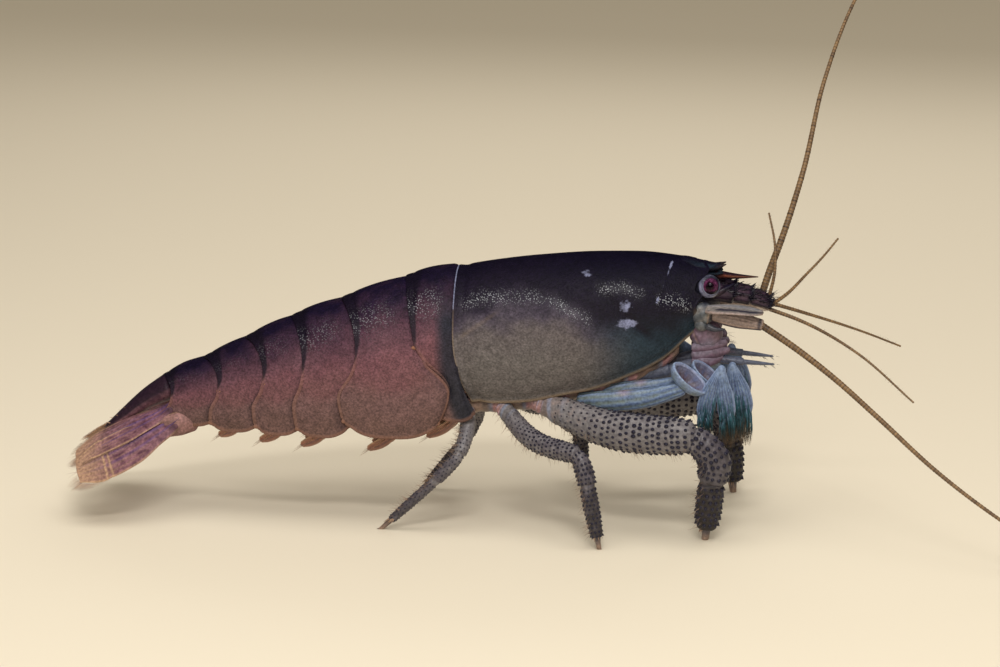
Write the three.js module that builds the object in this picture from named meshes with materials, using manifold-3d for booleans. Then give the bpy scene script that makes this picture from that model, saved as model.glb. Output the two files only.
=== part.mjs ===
// A life-size African fan shrimp, standing on its six walking legs with its four fans closed.
// Millimetres. +X points to the head, +Y to the animal's left, +Z up, and the floor is at z = 0.
// Each shell plate, leg segment, feeler and mouthpart is a closed solid of its own.
import * as THREE from "three";
import { mergeVertices } from "three/addons/utils/BufferGeometryUtils.js";
import Module from "manifold-3d";

const wasm = await Module();
wasm.setup();

// ---------------------------------------------------------------- driving dimensions
const GAP = 0.3; // clearance between neighbouring pieces
const SHELL_FRONT = 37.2; // the carapace's front edge, measured forward from its rear edge
const BACK_SHARE = 0.6; // share of the half section, from the back, that lies above the widest level
const WIDEST_LEVEL = 0.43; // height of the widest level, as a share of the section's height
const ROUNDNESS = 2 / 2.15; // power that rounds the back's section: 1 is an ellipse
const CARAPACE_TUCK = 0.85; // angle, in radians, by which the carapace turns in under the body
const PLEURON_TUCK = 0.42; // the same for the side plates of the abdomen
const PLEURON_THICK = 0.9;
const RING_STEP = 0.28; // each ring's rear edge stands this proud of its mean surface

// Heights and half widths of the body along x, with x = 0 at the carapace's rear edge.
const backHeight = curveThrough([
  [-47, 21.5], [-39.8, 24.4], [-33.2, 27.7], [-25.8, 31.2], [-17.9, 34.2], [-7.8, 37.8],
  [0, 39.9], [6.5, 41.1], [12.8, 41.9], [22.1, 42.6], [28.2, 42.7], [34.9, 42.1], [39, 41.2],
]);
const halfWidth = curveThrough([
  [-47, 4.1], [-43, 4.7], [-38, 5.7], [-31, 7.0], [-24, 8.1], [-14, 9.0], [-4, 9.1],
  [4, 9.4], [14, 9.6], [24, 9.0], [31, 7.6], [35, 6.2], [39, 4.9],
]);
const carapaceEdge = curveThrough([
  [0, 20.0], [10.2, 20.5], [16.4, 21.7], [22.5, 23.0],
  [28.6, 25.2], [32.4, 27.3], [35.4, 30.0], [38.4, 32.6],
]);

// The abdomen's rings. Each edge line gives x on the back's midline, at the side hinge, on the flank
// and at the lower corner; each ring lies between two such lines.
const EDGE_SHARES = [0, 0.5, 0.78, 1];
const RING_EDGES = [
  [0, -0.2, 0.9, 2.6],
  [-7.8, -5.9, -0.7, -2.4],
  [-17.9, -14.9, -17.7, -17.0],
  [-25.8, -23.2, -24.8, -24.4],
  [-33.2, -29.5, -31.3, -31.0],
  [-39.8, -36.8, -38.2, -38.4],
  [-46.7, -44.8, -45.6, -44.6],
];
const RING_KEEL = [17.4, 14.5, 14.3, 14.3, 14.4, 14.9]; // lowest level of each ring's side plates
const RING_CORNER = [0.6, 2.6, 1.2, 1.2, 1.2, 0.8]; // how far the plate's lower corners are rounded off
const BELLY_RISE = 4.2; // the belly lies this far above the side plates' lower edges, at most
const SWIMMERET = { length: 10.6, halfWidth: 1.7, halfThick: 0.45, lateral: 3.2, sweep: 0.75 };

// Legs, by the place of each joint. The toes stand on the floor.
const LEGS = {
  leg_3_right: {
    hip: [12.6, -4.8, 19.9],
    thigh: [24.0, -9.8, 17.0],
    knee: [37.2, -13.5, 17.0],
    shin: [40.2, -13.3, 13.2],
    ankle: [39.8, -12.7, 9.6],
    toe: [39.0, -11.1, 0],
  },
  leg_4_right: {
    hip: [6.8, -4.8, 19.4],
    thigh: [12.4, -10.4, 15.2],
    knee: [19.4, -15.4, 14.4],
    shin: [20.5, -16.1, 12.0],
    ankle: [21.0, -16.5, 9.9],
    toe: [22.9, -17.0, 0],
  },
  leg_5_right: {
    hip: [1.8, -4.6, 19.0],
    thigh: [2.0, -8.0, 15.8],
    knee: [1.1, -10.5, 12.7],
    shin: [-0.7, -10.7, 10.6],
    ankle: [-2.6, -10.6, 8.5],
    toe: [-11.4, -9.4, 0],
  },
  leg_3_left: {
    hip: [12.6, 4.8, 19.9],
    thigh: [24.2, 9.8, 16.2],
    knee: [38.0, 13.2, 15.8],
    shin: [41.9, 13.7, 12.4],
    ankle: [42.9, 13.9, 9.2],
    toe: [43.6, 14.0, 0],
  },
  leg_4_left: {
    hip: [6.8, 4.8, 19.4],
    thigh: [11.2, 10.4, 15.2],
    knee: [17.2, 15.4, 14.2],
    shin: [18.0, 16.1, 12.0],
    ankle: [18.4, 16.5, 9.8],
    toe: [19.2, 17.0, 0],
  },
  leg_5_left: {
    hip: [1.8, 4.6, 19.0],
    thigh: [2.5, 8.0, 15.2],
    knee: [1.9, 10.0, 12.0],
    shin: [0.8, 10.7, 10.0],
    ankle: [-0.6, 11.2, 8.0],
    toe: [-7.0, 12.2, 0],
  },
};
// Half heights along each segment, and the section's half width as a share of its half height.
const LEG_SIZES = {
  3: {
    merus: [1.5, 2.4, 2.8, 3.0, 2.9, 2.3],
    carpus: [1.9, 2.4, 2.3],
    foot: [1.9, 2.0, 1.9, 1.3, 0.5, 0.45],
    flatness: 0.8,
  },
  4: {
    merus: [1.2, 1.4, 1.45, 1.45, 1.45, 1.25],
    carpus: [1.1, 1.4, 1.35],
    foot: [1.1, 1.2, 1.15, 0.95, 0.45, 0.4],
    flatness: 0.9,
  },
  5: {
    merus: [1.0, 1.15, 1.2, 1.15, 1.1, 0.95],
    carpus: [0.85, 1.0, 0.9],
    foot: [0.75, 0.8, 0.75, 0.65, 0.45, 0.4],
    flatness: 0.9,
  },
};

const ROSTRUM = { tip: [46.6, 0, 39.05], toothTip: [41.6, 1.0, 41.2] };
const EYE = { centre: [39.1, 4.1, 38.4], radius: 1.45 };
const FEELER_TIP = 0.27; // radius of a feeler's tip

// ---------------------------------------------------------------- shapes
// A smooth curve through [x, value] pairs that never overshoots them.
function curveThrough(pairs) {
  const slopes = pairs.slice(1).map(([x, v], i) => (v - pairs[i][1]) / (x - pairs[i][0]));
  const tangents = pairs.map((_, i) => {
    if (i === 0) return slopes[0];
    if (i === slopes.length) return slopes[i - 1];
    const [before, after] = [slopes[i - 1], slopes[i]];
    return before * after <= 0 ? 0 : (2 * before * after) / (before + after);
  });
  return (x) => {
    if (x <= pairs[0][0]) return pairs[0][1];
    if (x >= pairs.at(-1)[0]) return pairs.at(-1)[1];
    const i = pairs.findIndex(([end]) => x < end) - 1;
    const span = pairs[i + 1][0] - pairs[i][0];
    const t = (x - pairs[i][0]) / span;
    const rise = pairs[i + 1][1] - pairs[i][1];
    return pairs[i][1] + rise * t * t * (3 - 2 * t)
      + span * t * (1 - t) * (tangents[i] * (1 - t) - tangents[i + 1] * t);
  };
}

const evenly = (values) => curveThrough(values.map((v, i) => [i / (values.length - 1), v]));
const vector = (p) => new THREE.Vector3(...p);
const mirrored = (p, side) => [p[0], p[1] * side, p[2]];

// A manifold solid from a closed geometry, turned to face outwards.
function solidOf(geometry) {
  const bare = new THREE.BufferGeometry().setAttribute("position", geometry.getAttribute("position"));
  if (geometry.index) bare.setIndex(geometry.index);
  const merged = mergeVertices(bare, 1e-4);
  const faces = new Uint32Array(merged.index.array);
  const corner = (k) => new THREE.Vector3().fromBufferAttribute(merged.attributes.position, faces[k]);
  let volume = 0;
  for (let k = 0; k < faces.length; k += 3) volume += corner(k).dot(corner(k + 1).cross(corner(k + 2)));
  if (volume < 0) for (let k = 0; k < faces.length; k += 3) faces.subarray(k, k + 2).reverse();
  return new wasm.Manifold(
    new wasm.Mesh({ numProp: 3, vertProperties: merged.attributes.position.array, triVerts: faces }),
  );
}

// A closed solid with every vertex of a unit shape moved to place(vertex).
function reshaped(geometry, place) {
  const position = geometry.getAttribute("position");
  for (let i = 0; i < position.count; i++) {
    position.setXYZ(i, ...place(new THREE.Vector3().fromBufferAttribute(position, i)).toArray());
  }
  return solidOf(geometry);
}

// A solid that follows a smooth path. size(t) gives its half size along the side vector and across it.
function limb(points, size, { side = [0, 1, 0], sides = 8, steps = 6, grow = 0 } = {}) {
  const path = new THREE.CatmullRomCurve3(points.map(vector));
  return reshaped(new THREE.CylinderGeometry(1, 1, 1, sides, steps), (p) => {
    const t = p.y + 0.5;
    const along = path.getTangent(t);
    const wide = vector(side).addScaledVector(along, -vector(side).dot(along)).normalize();
    const high = along.clone().cross(wide);
    const [halfWide, halfHigh] = size(t);
    return path.getPoint(t)
      .addScaledVector(along, p.y * 2 * grow)
      .addScaledVector(wide, p.x * (halfWide + grow))
      .addScaledVector(high, p.z * (halfHigh + grow));
  });
}

// An ellipsoid.
function lump(centre, radii, grow = 0, [across, down] = [10, 6]) {
  const size = vector(radii).addScalar(grow);
  return reshaped(new THREE.SphereGeometry(1, across, down), (p) => p.multiply(size).add(vector(centre)));
}

// A closed solid through rings of points. Each ring has the same count of points and runs
// clockwise, seen from the front.
function loft(rings) {
  const count = rings[0].length;
  const faces = [];
  for (let r = 0; r + 1 < rings.length; r++) {
    for (let i = 0; i < count; i++) {
      const [a, b] = [r * count + i, r * count + ((i + 1) % count)];
      faces.push(a, b, b + count, a, b + count, a + count);
    }
  }
  const outline = (ring) => ring.map((p) => new THREE.Vector2(p.y, p.z));
  const last = (rings.length - 1) * count;
  for (const [a, b, c] of THREE.ShapeUtils.triangulateShape(outline(rings[0]), [])) faces.push(a, b, c);
  for (const [a, b, c] of THREE.ShapeUtils.triangulateShape(outline(rings.at(-1)), [])) {
    faces.push(last + c, last + b, last + a);
  }
  const geometry = new THREE.BufferGeometry().setFromPoints(rings.flat()).setIndex(faces);
  return solidOf(geometry);
}

// A point of the body's shell. turn runs from -1 at the right lower edge, over the back at 0, to 1
// at the left lower edge.
function shellPoint(x, turn, lowEdge, tuck, proud = 0) {
  const share = Math.abs(turn);
  const widest = lowEdge + WIDEST_LEVEL * (backHeight(x) - lowEdge);
  const half = halfWidth(x) + proud;
  if (share <= BACK_SHARE) {
    const angle = (1 - share / BACK_SHARE) * (Math.PI / 2);
    return new THREE.Vector3(
      x,
      Math.sign(turn) * half * Math.cos(angle) ** ROUNDNESS,
      widest + (backHeight(x) + proud - widest) * Math.sin(angle) ** ROUNDNESS,
    );
  }
  const angle = (tuck * (share - BACK_SHARE)) / (1 - BACK_SHARE);
  const drop = (widest - lowEdge) * (Math.sin(angle) / Math.sin(tuck));
  return new THREE.Vector3(x, Math.sign(turn) * half * Math.cos(angle), widest - drop);
}

const turns = (count) => Array.from({ length: count }, (_, i) => (2 * i) / (count - 1) - 1);
const fractions = (count) => Array.from({ length: count + 1 }, (_, i) => i / count);

// ---------------------------------------------------------------- body
function carapace(grow = 0) {
  const rearEdge = curveThrough(EDGE_SHARES.map((share, i) => [share, RING_EDGES[0][i]]));
  return loft(fractions(11).map((t) => turns(17).map((turn) => {
    const rear = rearEdge(Math.abs(turn)) + GAP / 2 - grow;
    const x = rear + (SHELL_FRONT + grow - rear) * t;
    return shellPoint(x, turn, carapaceEdge(x) - grow, CARAPACE_TUCK, grow);
  })));
}

// One ring of the abdomen, with its hanging side plates.
function ring(index, grow = 0) {
  const [front, rear] = [RING_EDGES[index], RING_EDGES[index + 1]].map(
    (edge) => curveThrough(EDGE_SHARES.map((share, i) => [share, edge[i]])),
  );
  const keel = RING_KEEL[index] - grow;
  return loft(fractions(3).map((t) => {
    const rounding = RING_CORNER[index] * Math.abs(2 * t - 1) ** 3;
    const proud = grow + RING_STEP * (2 * t - 1);
    const edgeAt = (share) => {
      const start = front(share) - GAP / 2 + grow;
      return start + (rear(share) + GAP / 2 - grow - start) * t;
    };
    const outer = turns(15).map((turn) => {
      const x = edgeAt(Math.abs(turn));
      return shellPoint(x, turn, keel + rounding, PLEURON_TUCK, proud);
    });
    const [right, left] = [outer[0], outer.at(-1)];
    const belly = Math.min(keel + BELLY_RISE, backHeight(right.x) - 3);
    const inner = left.y - PLEURON_THICK - grow;
    return [
      ...outer,
      new THREE.Vector3(left.x, inner, left.z),
      new THREE.Vector3(left.x, inner * 0.9, Math.max(belly, left.z + 0.3)),
      new THREE.Vector3(right.x, -inner * 0.9, Math.max(belly, right.z + 0.3)),
      new THREE.Vector3(right.x, -inner, right.z),
    ];
  }));
}

// A swimmeret that hangs from the belly and sweeps back.
function swimmeret(index, side) {
  const { length, halfWidth: wide, halfThick, lateral, sweep } = SWIMMERET;
  const middle = (RING_EDGES[index][3] + RING_EDGES[index + 1][3]) / 2 + 1.2;
  const shrink = 1 - 0.08 * index;
  const root = [middle, side * lateral * shrink, RING_KEEL[index] + BELLY_RISE + 0.8];
  const reach = length * shrink;
  const tip = [root[0] - reach * Math.sin(sweep), root[1], root[2] - 0.8 - reach * Math.cos(sweep)];
  const blade = evenly([wide * 0.7, wide, wide * 0.9, wide * 0.35]);
  return limb([root, tip], (t) => [blade(t), halfThick], { sides: 6, steps: 2 });
}

// The soft underside of the chest, between the legs.
const underside = (grow = 0) => loft(fractions(5).map((t) => {
  const x = 0.6 - grow + (33.4 + 2 * grow) * t;
  const top = carapaceEdge(x) - GAP + grow;
  const half = 5.6 - 2.4 * t * t + grow;
  const deep = 3.0 - 1.2 * t + 2 * grow;
  return [[1, 0], [0.95, -0.55], [0.6, -1], [-0.6, -1], [-0.95, -0.55], [-1, 0]].map(
    ([y, z]) => new THREE.Vector3(x, half * y, top + deep * z),
  );
}));

// The head between the eyes, with its two eyestalks.
const eyeSocket = (side) => lump(mirrored(EYE.centre, side), Array(3).fill(EYE.radius + GAP), 0, [8, 6]);
const eyestalk = (side, grow) => limb(
  [[37.6, side * 1.6, 37.3], mirrored(EYE.centre, side)],
  (t) => [1.1 + 0.25 * t, 1.1 + 0.25 * t],
  { steps: 2, grow },
).subtract(eyeSocket(side));
const head = (grow = 0) => lump([37.5, 0, 34.6], [3.5, 3.3, 4.3], grow, [10, 6])
  .add(eyestalk(-1, grow)).add(eyestalk(1, grow));

function rostrum(grow = 0) {
  const start = SHELL_FRONT + GAP - grow;
  const halfWide = evenly([2.7, 2.2, 1.3]);
  const plate = limb(
    [[start, 0, 40.4], [39.4, 0, 40.2], [40.7 + grow, 0, 40.0]],
    (t) => [halfWide(t), 1.15 - 0.2 * t],
    { steps: 2, grow },
  );
  const spike = limb(
    [[39.6, 0, 39.4], [43.0, 0, 39.15], ROSTRUM.tip],
    (t) => [1.1 - 0.8 * t, 0.85 - 0.55 * t],
    { sides: 6, steps: 3, grow },
  );
  const teeth = [-1, 1].map((side) => limb(
    [[39.0, side * 1.3, 40.6], mirrored(ROSTRUM.toothTip, side)],
    (t) => [0.6 - 0.33 * t, 0.6 - 0.33 * t],
    { sides: 6, steps: 1, grow },
  ));
  return teeth.reduce((whole, tooth) => whole.add(tooth), plate.add(spike));
}

// ---------------------------------------------------------------- tail fan
const telson = (grow = 0) => limb(
  [[-45.3, 0, 20.3], [-49.2, 0, 18.0], [-52.8, 0, 15.3], [-56.2, 0, 12.8]],
  ((wide) => (t) => [wide(t), 2.0 - 1.5 * t])(evenly([3.4, 3.1, 2.6, 1.7])),
  { sides: 10, steps: 4, grow },
);

// A tail blade: flat, broad and drooping outwards by the given angle.
function tailBlade(points, widths, droop, side, grow = 0) {
  const wide = evenly(widths);
  return limb(points.map((p) => mirrored(p, side)), (t) => [wide(t), 0.36], {
    side: [0, Math.cos(droop), -side * Math.sin(droop)], sides: 8, steps: 6, grow,
  });
}
const innerBlade = (side, grow) => tailBlade(
  [[-44.2, 3.4, 17.2], [-48.5, 4.6, 15.5], [-54.0, 5.3, 12.9], [-60.2, 5.2, 9.6]],
  [1.0, 2.3, 3.2, 3.2, 1.4], 0.45, side, grow,
);
// The outer blade has the stout joint on it that carries both blades.
const outerBlade = (side, grow) => tailBlade(
  [[-43.2, 4.2, 15.6], [-47.5, 6.0, 13.2], [-53.0, 7.7, 10.2], [-59.3, 8.1, 7.3]],
  [1.2, 2.4, 3.8, 4.0, 2.2], 0.75, side, grow,
).add(limb(
  [[-42.6, 4.4, 15.3], [-44.2, 4.9, 15.5], [-46.3, 5.0, 14.8]].map((p) => mirrored(p, side)),
  (t) => [1.1, 1.3 + 0.2 * t], { steps: 2, grow },
));

// ---------------------------------------------------------------- feelers and mouthparts
const feeler = (points, thick, steps, grow) => limb(
  points,
  (t) => Array(2).fill(thick + (FEELER_TIP - thick) * t),
  { sides: 6, steps, side: [0.1, 1, 0.1], grow },
);
const FEELERS = {
  antennule_outer_right: {
    thick: 0.5,
    route: [
      [48.9, -2.0, 35.2], [51.1, -2.5, 37.2], [53.8, -3.0, 40.3], [56.2, -3.0, 43.0],
      [58.5, -3.0, 46.0],
    ],
  },
  antennule_inner_right: {
    thick: 0.5,
    route: [
      [48.9, -2.1, 34.2], [53.0, -4.0, 33.2], [61.9, -9.0, 29.2], [70.0, -13.0, 22.9],
    ],
  },
  antennule_outer_left: {
    thick: 0.5,
    route: [
      [48.7, 1.9, 35.5], [49.1, 2.5, 39.2], [49.1, 3.8, 43.2], [48.1, 6.0, 48.0],
    ],
  },
  antennule_inner_left: {
    thick: 0.5,
    route: [
      [49.0, 2.0, 34.3], [54.1, 3.0, 32.7], [62.8, 6.0, 29.3], [69.5, 9.5, 26.0],
    ],
  },
  antenna_whip_right: {
    thick: 0.65,
    route: [
      [47.4, -5.5, 32.7], [52.1, -8.0, 29.9], [57.9, -11.0, 26.1], [64.5, -15.0, 21.1],
      [73.0, -20.0, 14.4], [80.7, -24.0, 9.4], [88.0, -28.0, 5.6], [95.0, -31.6, 3.2],
      [101.0, -34.4, 2.2],
    ],
  },
  antenna_whip_left: {
    thick: 0.75,
    route: [
      [47.3, 5.8, 34.2], [48.5, 7.0, 38.6], [50.2, 8.5, 43.1], [53.5, 13.0, 53.2],
      [56.7, 20.0, 66.4], [61.6, 27.0, 78.6], [66.0, 31.0, 86.0], [71.5, 35.0, 92.5],
    ],
  },
};

const antennuleStem = (side, grow) => limb(
  [[38.8, 1.7, 37.0], [43.0, 1.75, 36.6], [48.5, 1.95, 34.9]].map((p) => mirrored(p, side)),
  (t) => [1.25 - 0.35 * t, 1.25 - 0.35 * t], { steps: 4, grow },
);
const ANTENNA_STEMS = {
  right: [[37.8, -4.3, 34.3], [41.0, -4.9, 33.7], [47.1, -5.5, 32.8]],
  left: [[37.8, 4.3, 34.3], [41.0, 4.9, 34.0], [44.5, 5.3, 33.8], [47.2, 5.7, 33.9]],
};
const antennaStem = (name, grow) => limb(
  ANTENNA_STEMS[name],
  ((thick) => (t) => [thick(t), thick(t)])(evenly([1.7, 1.45, 1.2, 1.05, 0.95])), { steps: 5, grow },
);
const antennaScale = (side, grow) => limb(
  [[38.4, 5.4, 35.3], [43.0, 6.7, 35.65], [47.3, 6.9, 35.15]].map((p) => mirrored(p, side)),
  ((wide) => (t) => [wide(t), 0.35])(evenly([1.2, 2.1, 2.2, 1.9, 0.7])),
  { side: [0.15, 1, -side * 0.05], sides: 8, steps: 4, grow },
);

const maxilliped = (side, grow) => limb(
  [[26.5, 2.2, 22.8], [33.5, 2.3, 24.8], [40.1, 2.7, 27.0], [49.3, 2.4, 26.6]]
    .map((p) => mirrored(p, side)),
  ((thick) => (t) => [thick(t), thick(t)])(evenly([1.2, 1.35, 1.2, 0.9, 0.3])), { steps: 6, grow },
);
const mandible = (side, grow) => lump(mirrored([39.4, 3.3, 30.2], side), [2.7, 1.6, 2.1], grow);

// ---------------------------------------------------------------- fans
// Each fan is an arm, then the claw with its closed brush.
const FANS = {
  1: {
    arm: [[22.6, 4.2, 20.6], [29.6, 5.1, 22.0], [35.6, 5.4, 23.4], [39.7, 5.7, 25.4]],
    armSize: [1.2, 1.4, 1.4, 1.5, 2.3],
    claw: [[42.7, 5.8, 27.0], [43.3, 5.9, 23.6], [43.8, 6.0, 19.6], [44.1, 6.1, 13.8]],
    clawSize: [1.0, 1.5, 1.9, 2.0, 1.7, 0.8],
  },
  2: {
    arm: [[18.8, 5.0, 19.8], [27.6, 7.0, 20.4], [33.2, 8.1, 22.4], [37.3, 8.5, 25.3]],
    armSize: [1.2, 1.5, 1.5, 1.7, 2.7],
    claw: [[41.0, 8.6, 27.2], [40.7, 8.7, 23.6], [40.3, 8.7, 19.6], [40.6, 8.6, 14.2]],
    clawSize: [1.1, 1.9, 2.7, 2.9, 2.4, 1.0],
  },
};
const fanPiece = (points, sizes, flatness, side, grow) => limb(
  points.map((p) => mirrored(p, side)),
  ((size) => (t) => [size(t) * flatness, size(t)])(evenly(sizes)), { steps: 5, grow },
);

// ---------------------------------------------------------------- legs
function legSegment(points, sizes, flatness, steps, grow) {
  const size = evenly(sizes);
  return limb(points, (t) => [size(t) * flatness, size(t)], { side: [0.05, 1, 0.05], steps, grow });
}

// The three segments of a leg. The foot runs on past the toe and is cut off flat at the floor.
function legSegments(name) {
  const { hip, thigh, knee, shin, ankle, toe } = LEGS[name];
  const sizes = LEG_SIZES[name[4]];
  const reach = vector(toe).sub(vector(ankle)).normalize();
  const below = vector(toe).addScaledVector(reach, 1).toArray();
  return {
    merus: (grow) => legSegment([hip, thigh, knee], sizes.merus, sizes.flatness, 5, grow),
    carpus: (grow) => legSegment([knee, shin, ankle], sizes.carpus, sizes.flatness, 3, grow),
    foot: (grow) => legSegment([ankle, below], sizes.foot, sizes.flatness, 5, grow),
  };
}

// ---------------------------------------------------------------- colours
const paint = (color, roughness) => new THREE.MeshStandardMaterial({ color, roughness, metalness: 0 });
const PAINTS = {
  shell: paint(0x3a3038, 0.35),
  abdomen: paint(0x4a3a42, 0.38),
  tail: paint(0x4a3040, 0.45),
  limb: paint(0x4c4a52, 0.5),
  fan: paint(0x6d7488, 0.55),
  feeler: paint(0x4a3426, 0.5),
  eye: paint(0x2a1218, 0.12),
  underside: paint(0x7a5a50, 0.6),
};

// ---------------------------------------------------------------- assembly
const shrimp = new THREE.Group();
const grownForms = [];

// Adds one piece, cut clear of the grown forms of every piece before it. A cut can leave a sliver on
// the far side of such a piece, so only the largest body is kept.
function add(name, material, make) {
  const cut = grownForms.reduce((form, other) => form.subtract(other), make(0));
  const [body] = cut.decompose().sort((a, b) => b.volume() - a.volume());
  grownForms.push(make(GAP));
  const { numProp, vertProperties, triVerts } = body.getMesh();
  const corners = Array.from({ length: vertProperties.length / numProp }, (_, i) => (
    new THREE.Vector3(...vertProperties.subarray(i * numProp, i * numProp + 3))
  ));
  const geometry = new THREE.BufferGeometry().setFromPoints(corners).setIndex([...triVerts]);
  geometry.computeVertexNormals();
  const mesh = new THREE.Mesh(geometry, PAINTS[material]);
  mesh.name = name;
  shrimp.add(mesh);
}

add("carapace", "shell", carapace);
add("rostrum", "shell", rostrum);
add("chest_underside", "underside", underside);
add("head", "underside", head);

for (let index = 0; index < 6; index++) {
  const paddles = index < 5 ? [swimmeret(index, -1), swimmeret(index, 1)] : [];
  const withPaddles = (grow) => paddles.reduce((form, paddle) => form.add(paddle), ring(index, grow));
  add(`abdomen_${index + 1}`, "abdomen", withPaddles);
}
add("telson", "tail", telson);

for (const [word, side] of [["right", -1], ["left", 1]]) {
  add(`tail_blade_outer_${word}`, "tail", (grow) => outerBlade(side, grow));
  add(`tail_blade_inner_${word}`, "tail", (grow) => innerBlade(side, grow));

  const eyeball = (grow) => lump(mirrored(EYE.centre, side), Array(3).fill(EYE.radius), grow, [10, 8]);
  add(`eye_${word}`, "eye", eyeball);
  add(`antennule_stem_${word}`, "limb", (grow) => antennuleStem(side, grow));
  add(`antenna_stem_${word}`, "limb", (grow) => antennaStem(word, grow));
  add(`antenna_scale_${word}`, "limb", (grow) => antennaScale(side, grow));
  add(`maxilliped_${word}`, "limb", (grow) => maxilliped(side, grow));
  add(`mandible_${word}`, "limb", (grow) => mandible(side, grow));

  for (const number of [1, 2]) {
    const { arm, armSize, claw, clawSize } = FANS[number];
    add(`fan_arm_${number}_${word}`, "fan", (grow) => fanPiece(arm, armSize, 0.65, side, grow));
    add(`fan_${number}_${word}`, "fan", (grow) => fanPiece(claw, clawSize, 0.45, side, grow));
  }
  for (const [name, steps] of [["antennule_outer", 6], ["antennule_inner", 6], ["antenna_whip", 12]]) {
    const { route, thick } = FEELERS[`${name}_${word}`];
    add(`${name}_${word}`, "feeler", (grow) => feeler(route, thick, steps, grow));
  }
}

const UNDERGROUND = solidOf(new THREE.BoxGeometry(300, 300, 20).translate(0, 0, -10));
for (const name of Object.keys(LEGS)) {
  const { merus, carpus, foot } = legSegments(name);
  add(`${name}_merus`, "limb", merus);
  add(`${name}_carpus`, "limb", carpus);
  add(`${name}_foot`, "limb", (grow) => foot(grow).subtract(UNDERGROUND));
}

// The origin is the middle of the bounding box, on the floor.
const bounds = new THREE.Box3().setFromObject(shrimp);
const middle = bounds.getCenter(new THREE.Vector3());
shrimp.position.set(-middle.x, -middle.y, -bounds.min.z);

const part = new THREE.Group();
part.add(shrimp);
export default part;
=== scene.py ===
"""A life-size African fan shrimp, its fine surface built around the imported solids.

Lengths in this script are in millimetres, with x = 0 at the rear edge of the carapace, x towards the
head, y towards the animal's left and z up from the floor. place() turns them into the row frame.
"""

import math

import bmesh
import bpy
import numpy as np
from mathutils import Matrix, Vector
from numpy import clip, cos, linspace, sin


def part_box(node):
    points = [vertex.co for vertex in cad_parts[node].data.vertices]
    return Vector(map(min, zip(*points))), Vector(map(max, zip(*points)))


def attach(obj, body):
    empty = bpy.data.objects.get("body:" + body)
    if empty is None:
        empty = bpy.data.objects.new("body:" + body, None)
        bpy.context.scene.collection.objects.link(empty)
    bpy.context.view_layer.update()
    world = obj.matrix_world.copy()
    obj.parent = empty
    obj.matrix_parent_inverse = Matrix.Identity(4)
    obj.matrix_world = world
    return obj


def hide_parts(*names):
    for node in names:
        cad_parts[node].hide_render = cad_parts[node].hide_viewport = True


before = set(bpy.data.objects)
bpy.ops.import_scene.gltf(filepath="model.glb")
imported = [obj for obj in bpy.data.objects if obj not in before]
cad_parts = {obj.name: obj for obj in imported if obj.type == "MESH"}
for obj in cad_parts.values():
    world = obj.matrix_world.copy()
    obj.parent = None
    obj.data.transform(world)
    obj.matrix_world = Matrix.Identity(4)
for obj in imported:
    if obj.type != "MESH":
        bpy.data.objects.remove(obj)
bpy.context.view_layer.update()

# ---------------------------------------------------------------- the row frame
SHELL_FRONT = 37.2  # the solid carapace's front edge
MM = 0.001
carapace_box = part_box("carapace")
eye_boxes = [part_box("eye_right"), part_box("eye_left")]
ORIGIN = np.array([
    SHELL_FRONT - carapace_box[1].x / MM,
    -(eye_boxes[0][0].y + eye_boxes[1][1].y) / 2 / MM,
    0.0,
])


def place(points):
    """Points of this script's frame, in the row frame and in metres."""
    return (np.asarray(points, float) - ORIGIN) * MM


# ---------------------------------------------------------------- the body's dimensions
BACK_SHARE = 0.6  # share of the half section, from the back, that lies above the widest level
WIDEST_LEVEL = 0.43  # height of the widest level, as a share of the section's height
ROUNDNESS = 2 / 2.15  # power that rounds the back's section: 1 is an ellipse
CARAPACE_TUCK = 0.85  # angle, in radians, by which the carapace turns in under the body
PLEURON_TUCK = 0.42  # the same for the side plates of the abdomen
EDGE_SHARES = [0, 0.5, 0.78, 1]  # shares of the half section at which a plate's edge is given
RING_EDGES = [  # x of the carapace's rear edge and of each ring's, at those shares
    [0, -0.2, 0.9, 2.6],
    [-7.8, -5.9, -0.7, -2.4],
    [-17.9, -14.9, -17.7, -17.0],
    [-25.8, -23.2, -24.8, -24.4],
    [-33.2, -29.5, -31.3, -31.0],
    [-39.8, -36.8, -38.2, -38.4],
    [-46.7, -44.8, -45.6, -44.6],
]
RING_KEEL = [17.4, 14.5, 14.3, 14.3, 14.4, 14.9]  # lowest level of each ring's side plates
RING_CORNER = [0.6, 2.6, 1.2, 1.2, 1.2, 0.8]  # how far the plates' lower corners are rounded off
BELLY_RISE = 4.2  # the belly lies this far above the side plates' lower edges, at most
SHELL_THICK, RING_THICK = 0.5, 0.4
FINE_HAIR = 0.03  # radius of a bristle of a fringe, at its root

SIDES = (("right", -1), ("left", 1))


def curve_through(pairs):
    """A smooth curve through (x, value) pairs that never overshoots them."""
    xs, vs = np.array(pairs, float).T
    slopes = np.diff(vs) / np.diff(xs)
    middle = [0 if a * b <= 0 else 2 * a * b / (a + b) for a, b in zip(slopes, slopes[1:])]
    tangents = np.array([slopes[0], *middle, slopes[-1]])

    def value(x):
        x = clip(x, xs[0], xs[-1])
        i = clip(np.searchsorted(xs, x, side="right") - 1, 0, len(xs) - 2)
        span = xs[i + 1] - xs[i]
        t = (x - xs[i]) / span
        rise = vs[i + 1] - vs[i]
        bend = tangents[i] * (1 - t) - tangents[i + 1] * t
        return vs[i] + rise * t * t * (3 - 2 * t) + span * t * (1 - t) * bend

    return value


def evenly(values):
    """A smooth curve through values spread evenly over 0 to 1."""
    return curve_through([(i / (len(values) - 1), v) for i, v in enumerate(values)])


def smoothstep(low, high, x):
    """0 below low, 1 above high, and a smooth ramp between them."""
    t = clip((x - low) / (high - low), 0, 1)
    return t * t * (3 - 2 * t)


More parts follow.
